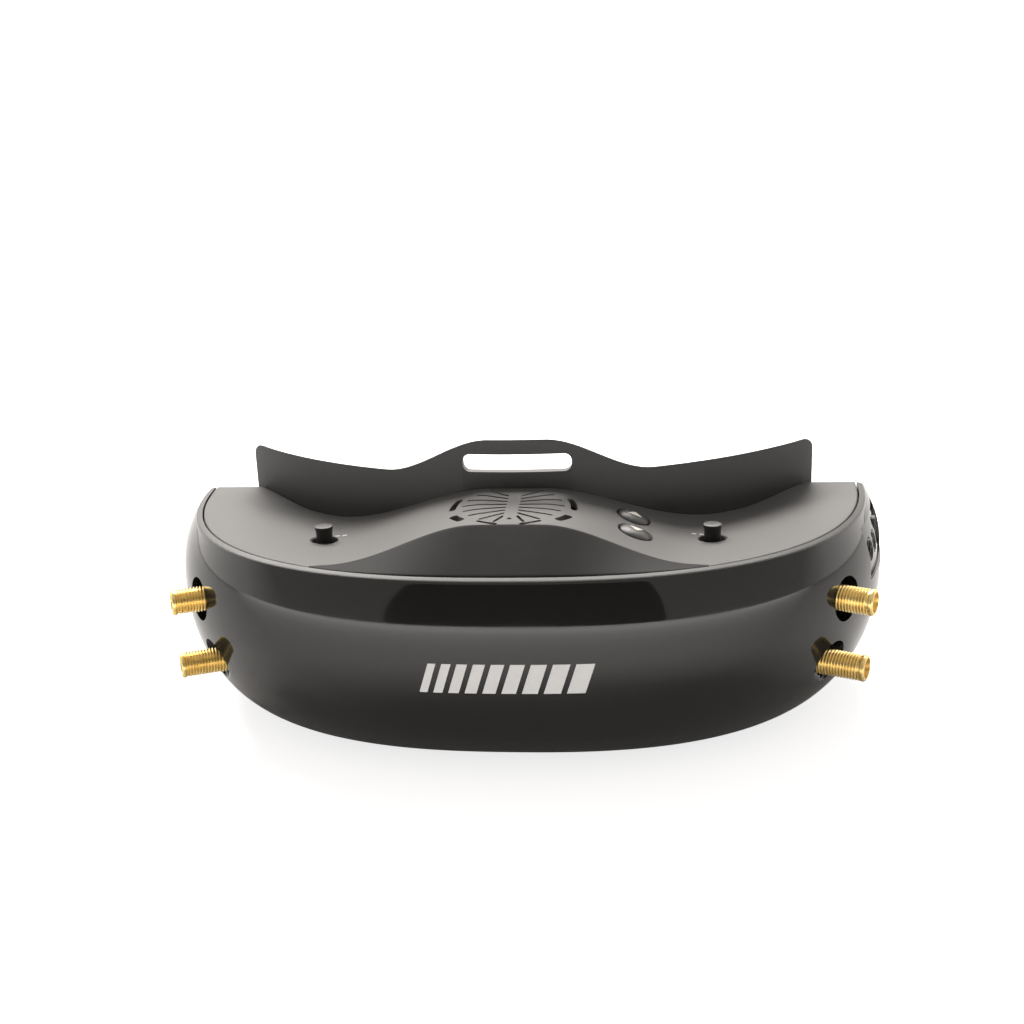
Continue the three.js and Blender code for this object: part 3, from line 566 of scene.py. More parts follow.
def inset(outline, distance):
    """A convex-ish outline moved inwards."""
    count = len(outline)
    area = sum(
        outline[k - 1][0] * outline[k][1] - outline[k][0] * outline[k - 1][1] for k in range(count))
    side = 1 if area > 0 else -1
    moved = []
    for k in range(count):
        along = (Vector(outline[(k + 1) % count]) - Vector(outline[k - 1])).normalized()
        moved.append(tuple(Vector(outline[k]) + side * distance * Vector((-along.y, along.x))))
    return moved


def eased_along_y(outline, low, high, edge):
    """An outline in X and Z, extruded along Y, with eased edges."""
    small = inset(outline, edge)
    return loft([[(x, y, z) for x, z in flat] for flat, y in (
        (small, low), (outline, low + edge), (outline, high - edge), (small, high))])


# =========================================================================================
# Pieces
# =========================================================================================

def to_object(name, solid):
    points, faces = solid
    mesh = bpy.data.meshes.new(name)
    mesh.from_pydata([place(point) for point in points], [], faces)
    mesh.validate()
    piece = bpy.data.objects.new(name, mesh)
    bpy.context.scene.collection.objects.link(piece)
    return piece


def settle(piece):
    """Turns a piece and its modifiers into a plain mesh."""
    shape = piece.evaluated_get(bpy.context.evaluated_depsgraph_get())
    mesh = bpy.data.meshes.new_from_object(shape)
    old = piece.data
    piece.modifiers.clear()
    piece.data = mesh
    bpy.data.meshes.remove(old)
    return piece


def carve(piece, solid, operation="DIFFERENCE"):
    tool = to_object("tool", solid)
    modifier = piece.modifiers.new("carve", "BOOLEAN")
    modifier.operation = operation
    modifier.solver = "EXACT"
    modifier.object = tool
    settle(piece)
    bpy.data.objects.remove(tool)
    return piece


def add_solid(piece, solid):
    """Puts one more closed solid into a piece's mesh."""
    more = to_object("more", solid)
    build = bmesh.new()
    build.from_mesh(piece.data)
    build.from_mesh(more.data)
    build.to_mesh(piece.data)
    build.free()
    bpy.data.objects.remove(more)
    return piece


def hand_over(piece, body, slot, look=None, nodes=(), crease=32):
    """Shades a piece, gives it its finish, hangs it on the body it rides on, and hides the frame's parts
    that it stands for.
    """
    mesh = piece.data
    mesh.materials.clear()
    mesh.materials.append(look or LOOKS[slot])
    mesh.shade_smooth()
    mesh.set_sharp_from_angle(angle=math.radians(crease))
    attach(piece, body)
    if nodes:
        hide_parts(*nodes)
    return piece


# =========================================================================================
# Shapes that several pieces share
# =========================================================================================

def smooth(t):
    c = min(1.0, max(0.0, t))
    return c * c * (3 - 2 * c)


def seam(t):
    """The seam at angle t from the front: its point and outward direction, seen from above."""
    s, c = math.sin(t), max(0.0, math.cos(t))
    x = math.copysign(SEAM_A * abs(s) ** (2 / SEAM_POWER), s)
    y = SEAM_BACK_Y - SEAM_B * c ** (2 / SEAM_POWER)
    nx = math.copysign(abs(x / SEAM_A) ** (SEAM_POWER - 1) / SEAM_A, x)
    ny = -(((SEAM_BACK_Y - y) / SEAM_B) ** (SEAM_POWER - 1)) / SEAM_B
    length = math.hypot(nx, ny)
    return x, y, nx / length, ny / length


def seam_angle(y):
    return math.acos(((SEAM_BACK_Y - y) / SEAM_B) ** (SEAM_POWER / 2))


def seam_y(x, inward=0.0):
    u = min(1.0, abs(x) / (SEAM_A - inward))
    return SEAM_BACK_Y - (SEAM_B - inward) * (1 - u ** SEAM_POWER) ** (1 / SEAM_POWER)


def seam_point(t, d, z):
    x, y, nx, ny = seam(t)
    return (x + d * nx, y + d * ny, z)


def bulge(z):
    """How far the shell's outer face stands outside the seam at height z."""
    if z >= BELLY_Z:
        u = (z - BELLY_Z) / (RIM_Z - BELLY_Z)
        return BELLY_OUT - (BELLY_OUT - RIM_WIDTH) * u ** UPPER_POWER
    u = (BELLY_Z - z) / BELLY_Z
    return BELLY_OUT - TUCK * (1 - math.sqrt(max(0.0, 1 - u * u)))


def lower_ellipse(degrees, inward):
    a = math.radians(degrees)
    return (
        BELLY_OUT - inward - (TUCK - inward) * (1 - math.cos(a)),
        BELLY_Z - (BELLY_Z - inward) * math.sin(a))


def along_seam(section, start, end, steps):
    angles = [start + (end - start) * k / steps for k in range(steps + 1)]
    return loft([[seam_point(t, d, z) for d, z in section] for t in angles])


def shell_point(x, z, lift=0.0):
    """The point of the front shell's outer face at x and z, moved outwards by lift."""
    out = bulge(z)
    t = math.asin(min(1.0, abs(x) / (SEAM_A + out)) ** (SEAM_POWER / 2))
    for _ in range(12):
        sx, _, nx, _ = seam(t)
        aim = max(0.0, abs(x) - (out + lift) * nx)
        t = math.asin(min(1.0, aim / SEAM_A) ** (SEAM_POWER / 2))
    return seam_point(math.copysign(t, x), out + lift, z)


def hump_share(x, y):
    reach = HUMP_REACH[0] + HUMP_REACH[1] * y
    flank = HUMP_FLANK[0] + HUMP_FLANK[1] * y
    return smooth((reach - abs(x)) / flank)


def deck(x, y):
    e = abs(x / SEAM_A) ** SEAM_POWER + abs((SEAM_BACK_Y - y) / SEAM_B) ** SEAM_POWER
    kept = 1 - smooth((y - DISH_FADE[0]) / (DISH_FADE[1] - DISH_FADE[0]))
    return SEAM_Z - DISH * kept * smooth((1 - e) / DISH_WIDTH)


def behind_crest(x, y):
    low = deck(x, y)
    return low + (HUMP_Z + HUMP_RISE * (y - CREST_Y) - low) * hump_share(x, y)


def crest_y(x):
    return CREST_Y - CREST_SWEEP * min(1.0, abs(x) / CREST_HALF) ** 2


def cover_z(x, y):
    """Height of the top cover's outer face, with a soft crest."""
    behind = behind_crest(x, y)
    if abs(x) >= CREST_HALF:
        return behind
    crest = crest_y(x)
    front = seam_y(x, GAP)
    top = behind_crest(x, crest)
    ramp = SEAM_Z + (top - SEAM_Z) * (y - front) / (crest - front)
    if y < crest - 2:
        return ramp
    if y > crest + 2:
        return behind
    soft = CREST_SOFT * min(1.0, (CREST_HALF - abs(x)) / 12) + 1e-4
    near = max(0.0, soft - abs(ramp - behind)) / soft
    least = ramp if y < crest else behind
    return least - near * near * soft / 4


def cover_normal(x, y):
    h = 0.5
    dx = (cover_z(x + h, y) - cover_z(x - h, y)) / (2 * h)
    dy = (cover_z(x, y + h) - cover_z(x, y - h)) / (2 * h)
    return Vector((-dx, -dy, 1)).normalized()


def plate_y(x, radius=PLATE_R):
    return PLATE_Y + PLATE_R - math.sqrt(radius * radius - x * x)


def rear_edge(x):
    return min(plate_y(x), BODY_REAR_Y + GAP) - GAP


def connectors():
    """Each antenna connector's name, tip and outward direction."""
    a = math.radians(SMA_ANGLE)
    for height, tip in SMA_TIPS.items():
        for hand, sign in HANDS:
            out = (sign * math.cos(a), -math.sin(a), 0.0)
            yield f"{height}_{hand}", (sign * tip[0], tip[1], tip[2]), out


def buttons():
    for name, (x, y) in BUTTONS.items():
        yield name, Vector((x, y, cover_z(x, y))), cover_normal(x, y)


def side_place(sign, y, z, sink):
    """A place on the body's side: the point, and the outward direction."""
    t = sign * seam_angle(y)
    _, _, nx, ny = seam(t)
    return seam_point(t, bulge(z) - sink, z), (nx, ny, 0.0)


# =========================================================================================
# Front shell
# =========================================================================================

SHELL_STEPS = 240
SIDE_LIMIT = seam_angle(43.6)


def shell_outline():
    upper = [RIM_Z + (BELLY_Z - RIM_Z) * (k / 18) for k in range(1, 18)]
    lower = [LIP_ANGLE * k / 24 for k in range(25)]
    rim = softened([(0.0, SEAM_Z), (RIM_WIDTH, RIM_Z), (bulge(upper[0]), upper[0])], RIM_ROUND, 5)
    outer = rim[:-1] + [(bulge(z), z) for z in upper] + [lower_ellipse(a, 0) for a in lower]
    inner = [lower_ellipse(a, WALL) for a in reversed(lower[::3])]
    inner += [(bulge(z) - WALL, z) for z in reversed(upper[4::3])]
    return outer + inner + [(0.0, SEAM_Z - 2.9)]


def shell_core(inward):
    """Everything inside the shell's outer face, to trim bosses and pockets against."""
    heights = [42.0, 37.0]
    section = [(-24.0, SEAM_Z - 3), (1.0, SEAM_Z - 3)]
    section += [(bulge(z) - inward, z) for z in heights]
    section += [lower_ellipse(LIP_ANGLE * k / 8, inward) for k in range(9)]
    return section + [(-24.0, 2.4)]


def build_front_shell():
    skin = along_seam(shell_outline(), -SIDE_LIMIT, SIDE_LIMIT, SHELL_STEPS)
    shell = to_object("front_shell_moulding", skin)
    bosses = []
    for _, tip, out in connectors():
        bosses.append(rod(POCKET_R + 1.3, -POCKET_FLOOR - 1.6, 0, tip, out, 48))
    for _, sign in HANDS:
        x = sorted((sign * 73.0, sign * 92.0))
        bosses.append(block(x, (34.8, 36.2), (3.0, 46.0)))
    inside = to_object("inside", together(*bosses))
    carve(inside, along_seam(shell_core(0.6), -SIDE_LIMIT, SIDE_LIMIT, 120), "INTERSECT")
    modifier = shell.modifiers.new("join", "BOOLEAN")
    modifier.operation = "UNION"
    modifier.solver = "EXACT"
    modifier.object = inside
    settle(shell)
    bpy.data.objects.remove(inside)

    cuts = []
    for _, tip, out in connectors():
        cuts.append(turned([
            (0, -POCKET_FLOOR - 3), (SMA_R + GAP, -POCKET_FLOOR - 3), (SMA_R + GAP, -POCKET_FLOOR),
            (POCKET_R - 0.4, -POCKET_FLOOR), (POCKET_R, -POCKET_FLOOR + 0.4), (POCKET_R, 4), (0, 4)],
            tip, out, 72))
    window = [(-3.0, PORT_Z[0]), (9.0, PORT_Z[0]), (9.0, PORT_Z[1]), (-3.0, PORT_Z[1])]
    start, end = (seam_angle(y) for y in PORT_Y)
    cuts.append(along_seam(softened(window, 1.2, 4, closed=True), start, end, 16))
    for _, sign in HANDS:
        x = sorted((sign * 79.0, sign * 95.0))
        cuts.append(block(x, (37.2, 40.6), (STRAP_Z[0] - 1, STRAP_Z[1] + 1)))
    carve(shell, together(*cuts))
    for socket in SOCKETS.values():
        width, height = (size + 2 * GAP for size in socket["size"])
        carve(shell, socket_block(socket, width, height, -9, 4))
    carve(shell, block((-120, 120), (BODY_REAR_Y, 90), (-5, 60)))
    return hand_over(shell, "housing", "gloss_shell", nodes=["front_shell"])


# Sockets on the wearer's right side
SOCKETS = {
    "hdmi_socket": {"y": 26.0, "z": 40.2, "size": (11.2, 3.4), "mouth": (9.8, 2.2), "tongue": (7.6, 0.5)},
    "card_socket": {
        "y": 26.0, "z": 31.5, "size": (13.2, 2.4), "mouth": (11.4, 1.1), "tongue": (9.6, 0.25)},
}


def socket_block(socket, width, height, low, high, edge=0.4):
    """A box with round corners that lies in a socket's opening, from low to high outwards."""
    origin, out = side_place(-1, socket["y"], socket["z"], 0)
    across = Vector((-out[1], out[0], 0))
    flat = rounded_box(0, 0, width, height, min(edge, height / 2 - 0.01), 4)
    return loft([[
        tuple(Vector(origin) + across * u + Vector((0, 0, v)) + Vector(out) * depth) for u, v in flat
    ] for depth in (low, high)])


def build_sockets():
    for name, socket in SOCKETS.items():
        body = to_object(f"{name}_shell", socket_block(socket, *socket["size"], -9.5, -0.8))
        carve(body, socket_block(socket, *socket["mouth"], -8, 1))
        add_solid(body, socket_block(socket, *socket["tongue"], -8.4, -2.2, 0.2))
        hand_over(body, "housing", "steel", nodes=[name])


# =========================================================================================
# Ports
# =========================================================================================

def build_ports():
    heights = [PORT_Z[0] + GAP + (PORT_Z[1] - PORT_Z[0] - 2 * GAP) * k / 12 for k in range(13)]
    outer = [(bulge(z) - PORT_SINK, z) for z in heights]
    inner = [(bulge(z) - PORT_SINK - 1.6, z) for z in reversed(heights)]
    start, end = seam_angle(PORT_Y[0] + GAP), seam_angle(PORT_Y[1] - GAP)
    panel = to_object("port_panel_moulding", along_seam(outer + inner, start, end, 32))
    holes = []
    for name, (y, radius, bore, pin) in JACKS.items():
        origin, out = side_place(1, y, PORT_AXIS_Z, PORT_SINK)
        holes.append(turned([
            (0, -8), (radius + GAP, -8), (radius + GAP, -0.3),
            (radius + 0.8, 0.2), (radius + 0.8, 4), (0, 4)],
            origin, out, 48))
        lip = softened([(radius, -10), (radius, -0.2), (bore, -0.2), (bore, -8.6)], 0.3, 3)
        core = [(pin, -8.6), (pin, -1.5), (pin * 0.6, -1.2), (0, -1.2)] if pin else [(0, -8.6)]
        hand_over(
            to_object(f"{name}_barrel", turned([(0, -10)] + lip + core, origin, out)),
            "housing", "black_plastic", nodes=[name])
        spring_r = bore - 0.05
        if not pin:
            hand_over(
                to_object(f"{name}_contact", turned(
                    [(spring_r - 0.35, -5.0), (spring_r, -5.0), (spring_r, -2.4), (spring_r - 0.35, -2.4),
                     (spring_r - 0.35, -5.0)], origin, out, 40)),
                "housing", "steel")
    carve(panel, together(*holes))
    hand_over(panel, "housing", "plate_plastic", look=LOOKS["gloss_shell"], nodes=["port_panel"])


# =========================================================================================
# Top cover
# =========================================================================================

COVER_COLUMNS = 220
RAMP_ROWS = 20
DECK_ROWS = 64


def vent_slot(start, end, half):
    """A thin slot with round ends, as an outline seen from above."""
    start, end = Vector(start), Vector(end)
    along = (end - start).normalized()
    side = Vector((-along.y, along.x))
    outline = []
    for centre, first in ((start, 0), (end, 180)):
        for k in range(7):
            a = math.radians(first + 180 * k / 6)
            outline.append(tuple(centre + half * (side * math.cos(a) - along * math.sin(a))))
    return outline


def vent_arc(sign, start, end, radius, half, steps=14):
    """A curved slot with round ends."""
    angles = [math.radians(start + (end - start) * k / steps) for k in range(steps + 1)]
    ease = [min(1.0, math.sqrt(max(0.0, 1 - max(0.0, 1 - min(k, steps - k) / 2) ** 2)) + 0.25)
            for k in range(steps + 1)]
    outer = [(radius + half * e, a) for a, e in zip(angles, ease)]
    inner = [(radius - half * e, a) for a, e in zip(angles, ease)]
    return [(sign * r * math.cos(a), VENT_Y + r * math.sin(a)) for r, a in outer + inner[::-1]]


def vent_outlines():
    for _, sign in HANDS:
        for k in range(8):
            a = math.radians(57.5 - 18.7 * k)
            start = (sign * 1.75, VENT_Y + 6.3 - 2.0 * k)
            end = (sign * 11.7 * math.cos(a), VENT_Y + 11.7 * math.sin(a))
            yield vent_slot(start, end, 0.36)
        for start, end, radius, half in VENT_ARCS:
            yield vent_arc(sign, start, end, radius, half)


def edge_drop(x, y):
    """How far the cover's edge is rounded down at a point near the seam."""
    a, b = SEAM_A - GAP, SEAM_B - GAP
    u, v = abs(x) / a, (SEAM_BACK_Y - y) / b
    level = (u ** SEAM_POWER + v ** SEAM_POWER) ** (1 / SEAM_POWER)
    slope = math.hypot(u ** (SEAM_POWER - 1) / a, v ** (SEAM_POWER - 1) / b)
    depth = max(0.0, 1 - level) / slope
    if depth >= EDGE_ROUND:
        return 0.0
    return EDGE_ROUND - math.sqrt(EDGE_ROUND ** 2 - (EDGE_ROUND - depth) ** 2)


def build_top_cover():
    depth = (SEAM_BACK_Y - COVER_REAR_Y) / (SEAM_B - GAP)
    half = (SEAM_A - GAP) * (1 - depth ** SEAM_POWER) ** (1 / SEAM_POWER)

    def outer(i, j):
        x = half * math.sin(math.radians(-90 + 180 * i / COVER_COLUMNS))
        front, rear = seam_y(x, GAP), rear_edge(x)
        bend = min(max(crest_y(x), front + 0.3), front + 0.5 * (rear - front))
        if j <= RAMP_ROWS:
            u = j / RAMP_ROWS
            y = front + (bend - front) * (u - 0.9 * math.sin(math.tau * u) / math.tau)
        else:
            y = bend + (rear - bend) * ((j - RAMP_ROWS) / DECK_ROWS) ** 1.5
        return (x, y, cover_z(x, y) - edge_drop(x, y))

    def under(i, j):
        x, y, _ = outer(i, j)
        return (x, y, cover_z(x, y) - COVER)

    cover = to_object("top_cover_moulding", slab(COVER_COLUMNS, RAMP_ROWS + DECK_ROWS, outer, under))
    cuts = [along_z(outline, 46, 60) for outline in vent_outlines()]
    cuts.append(rod(0.55, 50, 60, (0, VENT_Y - 9.3, 0), (0, 0, 1), 16))
    for _, sign in HANDS:
        x = sign * STICK_X
        top = cover_z(x, STICK_Y)
        cuts.append(turned([
            (0, 40), (STICK_HOLE_R, 40), (STICK_HOLE_R, top - 0.25), (STICK_HOLE_R + 0.35, top + 0.12),
            (STICK_HOLE_R + 0.35, 60), (0, 60)], (x, STICK_Y, 0), (0, 0, 1), 56))
    for _, origin, out in buttons():
        hole = BUTTON_R + 0.35
        cuts.append(turned([
            (0, -6), (hole, -6), (hole, -0.35), (hole + 0.3, 0.15), (hole + 0.3, 6), (0, 6)],
            origin, out, 56))
    carve(cover, together(*cuts))
    for _, sign in HANDS:
        for x, y in BOTTOM_SCREWS:
            top = cover_z(x, y) - 1.0
            add_solid(cover, turned(
                [(1.5, 2.7), (3.0, 2.7), (3.0, top), (0, top), (0, 12), (1.5, 12), (1.5, 2.7)],
                (sign * x, y, 0), (0, 0, 1), 24))
    hand_over(cover, "housing", "matte_cover", nodes=["top_cover"], crease=38)
    # The faces of the ramp ahead of the crest take the darker copy of the cover's plastic: painted shade.
    cover.data.materials.append(RAMP_PAINTED_SHADE_LOOK)
    for polygon in cover.data.polygons:
        x, y, z = polygon.center / MM
        y -= SHIFT_Y
        ahead = abs(x) < CREST_HALF and y < crest_y(x)
        if ahead and z > cover_z(x, y) - 0.5 and polygon.normal.z > 0.3:
            polygon.material_index = 1


# =========================================================================================
# Bottom cover
# =========================================================================================

def nose_arch(extra, y, foot, scale, steps=40):
    outline = []
    for k in range(steps + 1):
        a = math.pi * k / steps
        half, top = NOSE_HALF * scale + extra, NOSE_TOP * scale + extra
        outline.append([half * math.cos(a), y, top * math.sin(a)])
    outline[0][2] = outline[steps][2] = foot
    return [tuple(point) for point in outline]


def build_bottom_cover():
    columns = 160
    edge = [(-12.3, 0.62), (-12.6, 0.42), (-13.3, 0.26), (-14.2, 0.13), (-16.15, 0.0)]
    limit = seam_angle(40.1)

    def under(i, j):
        t = -limit + 2 * limit * i / columns
        if j < len(edge):
            return seam_point(t, *edge[j])
        return (seam_point(t, edge[-1][0], 0)[0], BODY_REAR_Y - GAP, 0.0)

    def inner(i, j):
        x, y, _ = under(i, j)
        return (x, y, 2.4)

    cover = to_object("bottom_cover_moulding", slab(columns, len(edge), under, inner))
    carve(cover, loft([nose_arch(1.8, 10.0, 0, 1), nose_arch(1.8, -8.8, 0, 0.6)]), "UNION")
    carve(cover, loft([nose_arch(0, 14.0, -2, 1.12), nose_arch(0, -7.0, -2, 0.6)]))
    carve(cover, rod(PLATE_R + GAP, -5, 5, (0, PLATE_Y + PLATE_R, 0), (0, 0, 1), 360))
    cuts = []
    for _, sign in HANDS:
        for x, y in BOTTOM_SCREWS:
            cuts.append(turned(
                [(0, -1), (2.8, -1), (2.8, 1.3), (1.5, 1.3), (1.5, 4), (0, 4)],
                (sign * x, y, 0), (0, 0, 1), 40))
        half = 2.5 + EYE_TRAVEL + 0.6
        cuts.append(along_z(rounded_box(sign * EYE_X, 0, 2 * half, 5.0, 0.8), -1, 4))
    carve(cover, together(*cuts))
    return hand_over(cover, "housing", "plate_plastic", nodes=["bottom_cover"])


# =========================================================================================
# Face plate
# =========================================================================================

def plate_top(x):
    return PLATE_TOP + BROW_RISE * smooth((BROW_HALF - abs(x)) / BROW_RUN) - wing_corner(x)


def wing_corner(x):
    """How far the plate's outline has come in at x, round the corners of its wings."""
    over = min(WING_CORNER, max(0.0, abs(x) - (PLATE_HALF - WING_CORNER)))
    return WING_CORNER - math.sqrt(WING_CORNER ** 2 - over ** 2)


def plate_section(x):
    """The closed section of the plate at x, with rounded top and bottom edges."""
    back = PLATE_R - PLATE_T
    low, top = PLATE_LOW + wing_corner(x), plate_top(x)
    corners = [(PLATE_R, low), (PLATE_R, top), (back, top - PLATE_SLOPE), (back, low)]
    return [(x, plate_y(x, radius), z) for radius, z in softened(corners, PLATE_EDGE, 4, closed=True)]


def ear_outline(sign):
    heights = [2.6 + 43.8 * k / 24 for k in range(25)]
    outline = [(sign * (SEAM_A + bulge(z) - 2.0), z) for z in heights]
    return softened([(sign * 71, heights[0])] + outline + [(sign * 71, heights[-1])], 0.8, 3, closed=True)


def build_face_plate():
    columns = 150
    lines = []
    for i in range(columns + 1):
        x = (PLATE_HALF - 1e-4) * math.sin(math.radians(-90 + 180 * i / columns))
        lines.append(plate_section(x))
    plate = to_object("face_plate_moulding", loft(lines))
    low = BODY_REAR_Y + GAP
    for _, sign in HANDS:
        carve(plate, eased_along_y(ear_outline(sign), low, low + PLATE_T, 0.35), "UNION")
    cuts = [along_y(rounded_box(*BROW_SLOT), 0, 30)]
    half, top = NOSE_HALF + NOSE_GAP, NOSE_TOP + NOSE_GAP
    angles = [math.pi * k / 40 for k in range(41)]
    nose = [(half * math.cos(a), top * math.sin(a)) for a in angles]
    cuts.append(along_y(nose + [(-half, -3), (half, -3)], 0, 30))
    for _, sign in HANDS:
        cuts.append(rod(EYE_HOLE_R, 0, 40, (sign * EYE_X, 0, EYE_Z), (0, 1, 0), 96))
        cuts.append(along_y(rounded_box(
            sign * sum(STRAP_X) / 2, sum(STRAP_Z) / 2,
            STRAP_X[1] - STRAP_X[0], STRAP_Z[1] - STRAP_Z[0], 1.2), 35, 50))
        for x, z in EAR_SCREWS:
            cuts.append(rod(1.5, 30, 60, (sign * x, 0, z), (0, 1, 0), 24))
    carve(plate, together(*cuts))
    return hand_over(plate, "housing", "plate_plastic", nodes=["face_plate"])


# =========================================================================================
# Face foam: a slim pad that swells a little
# =========================================================================================

FOAM_INSET = 0.9
FOAM_VOXEL = 1.9
FOAM_REACH = 1.3


def foam_blank():
    columns = 90
    radii = (FOAM_R[0] - 0.15, FOAM_R[1] + FOAM_INSET)

    def side(radius):
        def point(i, j):
            share = -1 + 2 * i / columns
            a = math.radians((FOAM_ANGLE - 0.6) * share)
            over = max(0.0, (abs(share) - 0.86) / 0.14)
            corner = 7 * (1 - math.sqrt(1 - over ** 2 * 0.96))
            low, high = FOAM_Z[0] + FOAM_INSET + corner, FOAM_Z[1] - FOAM_INSET - corner
            y = PLATE_Y + PLATE_R - radius * math.cos(a)
            return (radius * math.sin(a), y, low + (high - low) * j / 6)
        return point

    pad = to_object("face_pad", slab(columns, 6, side(radii[0]), side(radii[1])))
    carve(pad, along_y(rounded_box(0, 30, 98 + 2 * FOAM_INSET, 32 + 2 * FOAM_INSET, 12), 0, 60))
    carve(pad, along_y(rounded_box(0, 8, 37 + 2 * FOAM_INSET, 26 + 2 * FOAM_INSET, 8), 0, 60))
    return pad


def swell(piece, reach):
    """Blows a piece up a little by cloth simulation and keeps the resulting shape."""
    rest = [vertex.co.copy() for vertex in piece.data.vertices]
    cloth = piece.modifiers.new("swell", "CLOTH")
    cloth.settings.use_pressure = True
    cloth.settings.uniform_pressure_force = 4.0
    cloth.settings.effector_weights.gravity = 0.0
    cloth.settings.quality = 5
    scene = bpy.context.scene
    for step in range(1, 21):
        scene.frame_set(step)
    settle(piece)
    for vertex, start in zip(piece.data.vertices, rest):
        move = vertex.co - start
        if move.length > reach * MM:
            vertex.co = start + move.normalized() * reach * MM
    scene.frame_set(1)


def keep_off_plate(piece):
    """Flattens the pad where it lies against the plate."""
    centre = place((0, PLATE_Y + PLATE_R, 0))
    limit = FOAM_R[0] * MM
    for vertex in piece.data.vertices:
        arm = Vector((vertex.co.x - centre.x, vertex.co.y - centre.y, 0))
        if arm.length > limit:
            kept = arm.normalized() * limit
            vertex.co = Vector((centre.x + kept.x, centre.y + kept.y, vertex.co.z))


def build_foam():
    pad = foam_blank()
    remesh = pad.modifiers.new("even", "REMESH")
    remesh.mode = "VOXEL"
    remesh.voxel_size = FOAM_VOXEL * MM
    settle(pad)
    swell(pad, FOAM_REACH)
    relax = pad.modifiers.new("relax", "SMOOTH")
    relax.iterations = 3
    settle(pad)
    keep_off_plate(pad)
    finer = pad.modifiers.new("finer", "SUBSURF")
    finer.levels = finer.render_levels = 1
    settle(pad)
    keep_off_plate(pad)
    hand_over(pad, "housing", "foam", nodes=["face_foam"], crease=60)
    return pad


# =========================================================================================
# Antenna connectors
# =========================================================================================

def shape_tree(name, numbers, material):
    """A Geometry Nodes tree with named inputs: returns the tree, its nodes and its inputs."""
    tree = bpy.data.node_groups.new(name, "GeometryNodeTree")
    tree.interface.new_socket("Geometry", in_out="INPUT", socket_type="NodeSocketGeometry")
    tree.interface.new_socket("Geometry", in_out="OUTPUT", socket_type="NodeSocketGeometry")
    for label, value in numbers.items():
        kind = "Int" if isinstance(value, int) else "Vector" if isinstance(value, tuple) else "Float"
        socket = tree.interface.new_socket(label, in_out="INPUT", socket_type=f"NodeSocket{kind}")
        socket.default_value = value
    nodes = Nodes(tree)
    entry = tree.nodes.new("NodeGroupInput")
    inputs = {socket.name: Value(nodes, socket) for socket in entry.outputs if socket.name}

    def finish(geometry):
        real = nodes.add("GeometryNodeRealizeInstances", None, {"Geometry": geometry})
        dressed = nodes.add("GeometryNodeSetMaterial", None, {"Geometry": real, "Material": material})
        tree.links.new(dressed.socket, tree.nodes.new("NodeGroupOutput").inputs["Geometry"])
        return tree

    return nodes, inputs, finish


def grow(piece, tree, numbers):
    """Runs a tree on a piece, with its inputs set, and keeps the result as a plain mesh."""
    modifier = piece.modifiers.new("grow", "NODES")
    modifier.node_group = tree
    for socket in tree.interface.items_tree:
        if socket.in_out == "INPUT" and socket.name in numbers:
            modifier[socket.identifier] = numbers[socket.name]
    return settle(piece)


def joined(nodes, *parts):
    join = nodes.tree.nodes.new("GeometryNodeJoinGeometry")
    for part in parts:
        nodes.tree.links.new(part.socket, join.inputs["Geometry"])
    return Value(nodes, join.outputs["Geometry"])


def moved(nodes, geometry, **values):
    values["Geometry"] = geometry
    return nodes.add("GeometryNodeTransform", None, values)


def thread_tree():
    """Winds a raised thread round a barrel that starts at a tip and runs in along an axis."""
    nodes, inputs, finish = shape_tree("thread", {
        "Tip": (0.0, 0.0, 0.0), "Out": (0.0, 0.0, 1.0), "Start": 0.0009, "Pitch": 0.0007, "Turns": 16.0,
        "Radius": 0.0029, "Ridge": 0.0003}, LOOKS["gold"])
    path = nodes.add("GeometryNodeCurveSpiral", None, {
        "Resolution": 40, "Rotations": inputs["Turns"], "Start Radius": inputs["Radius"],
        "End Radius": inputs["Radius"], "Height": inputs["Pitch"] * inputs["Turns"]})
    upright_path = nodes.add("GeometryNodeSetCurveNormal", {"mode": "Z_UP"}, {"Curve": path})
    ridge = nodes.add("GeometryNodeCurvePrimitiveCircle", {"mode": "RADIUS"}, {
        "Resolution": 4, "Radius": inputs["Ridge"]})
    wound = nodes.add("GeometryNodeCurveToMesh", None, {
        "Curve": upright_path, "Profile Curve": ridge, "Fill Caps": True})
    drop = nodes.add("ShaderNodeCombineXYZ", None, {
        "Z": inputs["Pitch"] * inputs["Turns"] * -1 - inputs["Start"]})
    lowered = moved(nodes, wound, Translation=drop)
    facing = nodes.add("FunctionNodeAlignRotationToVector", {"axis": "Z"}, {"Vector": inputs["Out"]})
    turned_out = moved(nodes, lowered, Rotation=facing, Translation=inputs["Tip"])
    return finish(joined(nodes, inputs["Geometry"], turned_out))


